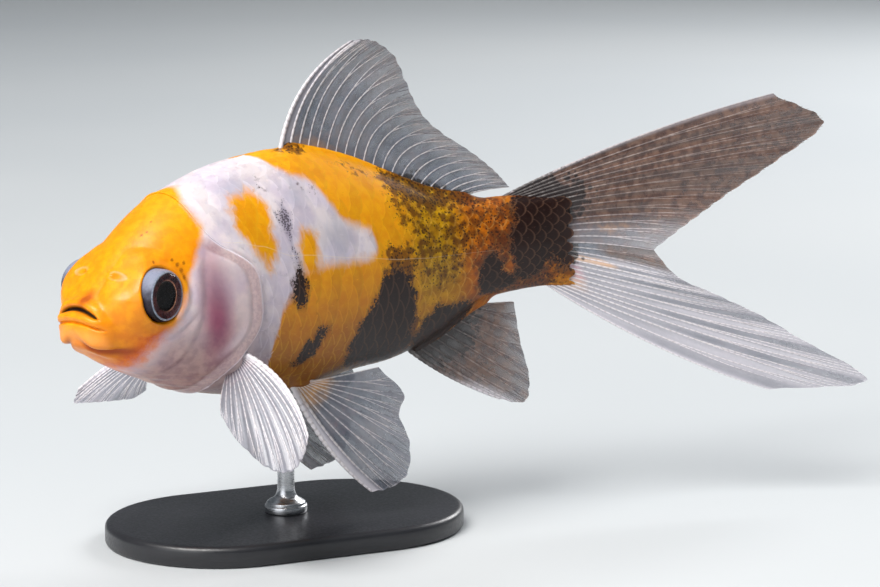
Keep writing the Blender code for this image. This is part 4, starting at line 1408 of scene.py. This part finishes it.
def middle_fins():
    """The dorsal and anal fins, and the two lobes of the tail fin, which meet at the notch."""
    notch_root, notch_tip = (80.6, -2.15), (93.3, -4.3)
    return [
        Fin("dorsal_fin", ridge_root(back_height, 0.35, 37.2, 66.0, 8),
            [(49.6, 0.0, 29.8), (51.4, -0.2, 29.9), (53.3, -0.4, 29.2), (55.7, -0.7, 27.0),
             (57.1, -0.8, 23.6), (58.4, -0.8, 20.3), (60.4, -0.7, 17.2), (63.3, -0.5, 14.6),
             (66.6, -0.4, 12.4), (68.8, -0.3, 10.6), (70.4, -0.2, 9.0), (71.4, -0.1, 7.8),
             (72.2, 0.0, 6.75)],
            [(-1.4, 0.5, 1.2), (-1.4, 0.6, 1.6), (-1.2, 0.4, 1.5), (0.0, 0.0, 0.15)],
            20, 0.7, 0.56, dorsal_paint),
        Fin("caudal_fin_upper",
            midline((73.4, 6.2), (77.5, 5.7), (80.5, 4.0), (80.6, 1.0), notch_root),
            midline((112.0, 17.4), (119.3, 12.8), (112.0, 7.4), (103.9, 2.6), (98.3, -0.9),
                    notch_tip),
            [(0.0, 0.0, 1.0), (0.0, 0.6, 0.6), (0.0, 0.6, 0.2)],
            15, 0.12, 0.42, caudal_upper_paint, 0.5),
        Fin("caudal_fin_lower", midline(notch_root, (80.6, -5.0), (80.4, -7.8), (78.6, -9.1)),
            [*midline(notch_tip, (97.5, -8.8), (105.0, -12.9), (114.0, -18.6)),
             (124.8, -0.6, -26.2), (110.0, 0.0, -26.3)],
            [(0.0, 0.6, 0.2), (0.0, 0.6, -0.4), (0.0, 0.0, -1.4)],
            14, 0.0, 0.42, caudal_lower_paint, 0.5),
        Fin("anal_fin", ridge_root(belly_height, -0.35, 56.3, 67.5, 4),
            midline((69.6, -24.3), (73.4, -25.1), (74.1, -21.5), (73.0, -16.0), (72.3, -10.2)),
            [(-0.4, 0.3, -0.4), (0.2, 0.4, 0.0), (0.0, 0.0, 0.0)],
            9, 0.8, 0.5, anal_paint, 0.25)]


# The tips of the pectoral fins, which are held differently, as if on the right side
PECTORAL_TIPS = {
    "left": [(20.4, 21.6, -18.8), (18.7, 22.4, -21.0), (16.9, 21.4, -22.9), (15.4, 18.4, -22.2),
             (14.2, 14.6, -19.2), (15.2, 10.4, -16.2)],
    "right": [(18.2, 23.3, -17.6), (17.6, 23.9, -19.4), (18.2, 22.2, -19.4), (19.3, 18.2, -18.8),
              (20.2, 14.2, -18.2), (20.2, 10.8, -16.6)]}
PELVIC_TIPS = [
    (44.0, 8.5, -32.6), (47.2, 9.0, -32.5), (50.0, 9.6, -30.4), (50.5, 9.2, -26.2),
    (49.4, 8.6, -22.4), (51.0, 7.6, -19.6), (47.4, 6.8, -15.4)]


def paired_fins(side, word):
    """The pectoral and the pelvic fin of one side."""
    return [Fin(f"pectoral_fin_{word}", side_root(side, (21.6, -9.4), (20.8, -11.0), (19.2, -12.6)),
                to_side(side, *PECTORAL_TIPS[word]),
                to_side(side, (1.4, 0.6, 0.8), (0.2, 0.4, 0.4), (-0.6, 0.2, 0.0)),
                13, 1.0, 0.55, pectoral_paint, 0.2, 0.115),
            Fin(f"pelvic_fin_{word}", side_root(side, (34.4, -17.2), (36.2, -16.7), (38.0, -15.9)),
                to_side(side, *PELVIC_TIPS),
                to_side(side, (-1.2, 0.3, -0.8), (0.0, 0.5, 0.0), (0.3, 0.4, 0.0)),
                10, 1.0, 0.45, pelvic_paint, 0.25, 0.135)]


# ---- eyes, stand and stage

# The stand, in millimetres
BASE_LENGTH, BASE_WIDTH, BASE_HEIGHT = 52.0, 33.0, 3.0
ROD_RADIUS = 1.2
ROD_TOP = AXIS_HEIGHT + float(belly_height(ROD_STATION))

# The camera: its lens in millimetres, its distance and the shift of its target in metres
FOCAL_LENGTH = 131.0
CAMERA_DISTANCE = 0.45
TARGET_STATION = 46.0
TARGET_RIGHT, TARGET_DOWN = 0.01378, 0.0056
CAMERA_AZIMUTH, CAMERA_ELEVATION = math.radians(-26.0), math.radians(10.0)


def turned(name, profile, frame_of, spokes, finish, attributes_of=None):
    """A closed piece turned from a profile of (radius, along) points. Its ends are on the axis."""
    radii, along = np.array(profile[1:-1]).T
    turn = np.arange(spokes) * (2.0 * math.pi / spokes)
    r, t = [grid.reshape(-1) for grid in np.meshgrid(radii, turn, indexing="ij")]
    r, t = [np.append(values, (0.0, 0.0)) for values in (r, t)]
    h = np.append(np.repeat(along, spokes), (profile[0][1], profile[-1][1]))
    faces = [grid_faces(len(radii), spokes, True), end_faces(len(radii), spokes)]
    attributes = attributes_of(r, t, h) if attributes_of else None
    return mesh_piece(name, frame_of(r, t, h), faces, finish, attributes)


def make_eye(side, word, ball_finish, clear_finish):
    """An eyeball set in its socket, and the clear dome over its pupil and iris."""
    def frame_of(r, t, h):
        turn = t * side
        along, out = r * np.cos(turn), h - EYE_PIVOT
        station = EYE_STATION + along * math.cos(EYE_LEAN) + out * math.sin(EYE_LEAN)
        side_out = EYE_PIVOT + out * math.cos(EYE_LEAN) - along * math.sin(EYE_LEAN)
        return place(np.stack([station, side * side_out, EYE_HEIGHT + r * np.sin(turn)], axis=-1))

    def marks(r, t, h):
        r = r / EYE_SIZE
        on_wall = (r > 3.47) | (h < 8.9 - EYE_SUNK)
        # up is the height round the eye, which the wall's painted reflection and painted shade
        # follow
        return {"reach": np.where(on_wall & (h < 9.15 - EYE_SUNK), 4.2, r),
                "up": r * np.sin(t * side), "rear": np.cos(t * side)}

    def set_in(profile):
        return [(EYE_SIZE * radius, height - EYE_SUNK) for radius, height in profile]

    profile = [(0.0, 8.92), (0.8, 8.92), (1.5, 8.92), (1.9, 8.93), (2.04, 8.95), (2.12, 9.02),
               (2.22, 9.08), (2.4, 9.08), (2.6, 9.07), (2.9, 9.1), (3.08, 9.16), (3.2, 9.24),
               (3.32, 9.27), (3.44, 9.2), (3.54, 9.04), (3.63, 8.82), (3.7, 8.5), (3.74, 8.1),
               (3.76, 7.5), (3.76, 6.8), (3.72, 6.0), (3.5, 5.0), (2.6, 4.6), (0.0, 4.5)]
    ball = turned(f"eyeball_{word}", set_in(profile), frame_of, 96, ball_finish, marks)
    dome = [(0.0, 10.38)]
    for step in range(1, 15):
        lean = 0.5 * math.pi * step / 14.0
        dome.append((3.42 * math.sin(lean), 9.12 + 1.26 * math.cos(lean)))
    dome += [(3.3, 8.9), (3.1, 8.75), (2.0, 8.7), (0.0, 8.7)]
    return ball, turned(f"cornea_{word}", set_in(dome), frame_of, 96, clear_finish)


def make_base(finish):
    """The flat base with round ends, straight sides and a softened edge."""
    half = 49
    reach, straight = 0.5 * BASE_WIDTH, 0.5 * (BASE_LENGTH - BASE_WIDTH)
    turn = np.concatenate([np.linspace(-0.5, 0.5, half), np.linspace(0.5, 1.5, half)]) * math.pi
    centre = np.where(np.arange(2 * half) < half, straight, -straight)
    rings = []
    for inset, z in ((0.55, 0.0), (0.2, 0.12), (0.0, 0.45), (0.0, 2.2), (0.06, 2.5), (0.24, 2.76),
                     (0.5, 2.93), (0.85, BASE_HEIGHT), (1.4, BASE_HEIGHT)):
        radius = reach - inset
        rings.append(np.stack([centre + radius * np.cos(turn), radius * np.sin(turn),
                               np.full(2 * half, z)], axis=-1))
    ring = np.arange(2 * half)
    ends = np.array([ring[::-1], ring + (len(rings) - 1) * 2 * half])
    faces = [grid_faces(len(rings), 2 * half, True), ends]
    return mesh_piece("stand_base_slab", np.concatenate(rings) * MM, faces, finish)


def upright(r, t, h):
    """Points round the upright axis of the rod, from millimetres to metres."""
    return np.stack([r * np.cos(t), r * np.sin(t), h], axis=-1) * MM


def make_rod(finish):
    """The polished rod in its turned collar."""
    top = ROD_TOP - 0.5
    profile = [(0.0, BASE_HEIGHT), (2.8, BASE_HEIGHT), (2.95, 3.06), (3.0, 3.22), (3.0, 3.95),
               (2.94, 4.08), (2.8, 4.12), (2.76, 4.22), (2.8, 4.32), (2.7, 4.5), (2.3, 4.78),
               (1.8, 5.05), (1.48, 5.4), (1.3, 5.9), (1.22, 6.4), (ROD_RADIUS, 7.2),
               (ROD_RADIUS, top - 1.0), (ROD_RADIUS, top), (0.9, top), (0.0, top)]
    return turned("stand_rod_steel", profile, upright, 64, finish)


def make_rest(finish):
    """The small rest at the top of the rod, which the belly sits on."""
    profile = [(radius, ROD_TOP + height) for radius, height in (
        (0.0, 0.55), (0.9, 0.52), (1.45, 0.4), (1.62, 0.2), (1.6, -0.05), (1.42, -0.5),
        (1.26, -1.0), (1.215, -1.5), (0.9, -1.5), (0.0, -1.5))]
    return turned("stand_rest", profile, upright, 48, finish)


def make_floor(finish):
    """A wide round floor whose edge sweeps up into the backdrop."""
    sweep = np.linspace(0.1, 1.57, 16)
    radii = np.concatenate([np.linspace(0.05, 1.7, 12), 1.7 + 0.7 * np.sin(sweep), [2.4]])
    heights = np.concatenate([np.zeros(12), 0.7 - 0.7 * np.cos(sweep), [2.6]])
    spokes = 96
    here = np.arange(spokes)
    r, t = np.meshgrid(radii, here * (2.0 * math.pi / spokes), indexing="ij")
    h = np.broadcast_to(heights[:, None], r.shape)
    points = np.stack([r * np.cos(t), r * np.sin(t), h], axis=-1).reshape(-1, 3)
    cap = np.stack([np.full(spokes, len(points)), here, (here + 1) % spokes], axis=-1)
    quads = grid_faces(len(radii), spokes, True)[:, ::-1]
    points = np.concatenate([points, [[0.0, 0.0, 0.0]]])
    return mesh_piece("studio_floor", points, [quads, cap], finish)


def aim(item, target):
    """Turns a light or the camera to face a target."""
    item.rotation_mode = "QUATERNION"
    item.rotation_quaternion = (Vector(target) - item.location).to_track_quat("-Z", "Y")


def add_light(name, location, target, size, watts, colour):
    """A round soft light that faces the target."""
    light = bpy.data.lights.new(name, "AREA")
    light.shape = "DISK"
    light.size, light.energy, light.color = size, watts, colour
    item = bpy.data.objects.new(name, light)
    item.location = location
    bpy.context.scene.collection.objects.link(item)
    aim(item, target)


def view_directions():
    """The photograph's direction of view: to the back, to the right and up, from the camera."""
    azimuth, elevation = CAMERA_AZIMUTH, CAMERA_ELEVATION
    back = Vector((math.sin(azimuth) * math.cos(elevation),
                   -math.cos(azimuth) * math.cos(elevation), math.sin(elevation)))
    right = Vector((math.cos(azimuth), math.sin(azimuth), 0.0))
    return back, right, back.cross(right)


def make_camera():
    """The camera at the photograph's angle, a little wider so that the stand is in the picture."""
    back, right, up = view_directions()
    target = Vector(place([TARGET_STATION, 0.0, 0.0])) + right * TARGET_RIGHT - up * TARGET_DOWN
    data = bpy.data.cameras.new("camera")
    data.lens = FOCAL_LENGTH
    data.clip_start, data.clip_end = 0.01, 20.0
    camera = bpy.data.objects.new("camera", data)
    camera.location = target + back * CAMERA_DISTANCE
    bpy.context.scene.collection.objects.link(camera)
    aim(camera, target)
    bpy.context.scene.camera = camera
    return target, back, right, up


def add_body():
    """The skin and the scales."""
    look = skin_finish()
    skin = make_skin(look)
    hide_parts("head", "upper_lip", "lower_jaw", "gill_cover_left", "gill_cover_right",
                "trunk", "tail_stalk")
    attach(skin, BODY)
    for coat in make_scales(look):
        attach(coat, BODY)


def add_fins():
    """The membrane and the rays of each fin."""
    membrane, rays = membrane_finish(), ray_finish()
    for fin in middle_fins() + paired_fins(-1, "left") + paired_fins(1, "right"):
        sheet = make_membrane(fin, membrane)
        bones = make_rays(fin, rays)
        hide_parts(fin.name)
        for piece in (sheet, bones):
            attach(piece, BODY)


def add_eyes():
    """Both eyes, each with its clear dome."""
    ball, clear = eye_finish(), cornea_finish()
    for side, word in ((-1, "left"), (1, "right")):
        eyeball, cornea = make_eye(side, word, ball, clear)
        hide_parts(f"eye_{word}")
        for piece in (eyeball, cornea):
            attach(piece, BODY)


def add_stand():
    """The base, the rod and the rest."""
    steel = rod_finish()
    base = make_base(base_finish())
    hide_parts("stand_base")
    rod = make_rod(steel)
    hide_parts("stand_rod")
    rest = make_rest(steel)
    for piece in (base, rod, rest):
        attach(piece, BODY)


def add_studio():
    """The floor, the camera, the three lights and the pale sky."""
    make_floor(floor_finish())
    target, back, right, up = make_camera()
    for name, upward, backward, sideways, size, watts, colour in (
            ("key", 0.55, 0.45, -0.3, 0.55, 9.0, (1.0, 0.98, 0.95)),
            ("fill", 0.1, 0.7, -0.55, 0.8, 3.0, (0.95, 0.97, 1.0)),
            ("rim", 0.5, -0.55, 0.45, 0.4, 5.0, (1.0, 1.0, 1.0))):
        location = target + upward * up + backward * back + sideways * right
        add_light(name, location, target, size, watts, colour)
    world = bpy.data.worlds.new("studio")
    world.use_nodes = True
    sky = world.node_tree.nodes["Background"].inputs
    sky["Color"].default_value = tint(222, 230, 238)
    sky["Strength"].default_value = 0.42
    bpy.context.scene.world = world
    bpy.context.scene.view_settings.view_transform = "Standard"
    bpy.context.view_layer.update()


def main():
    for add in (add_body, add_fins, add_eyes, add_stand, add_studio):
        add()


main()
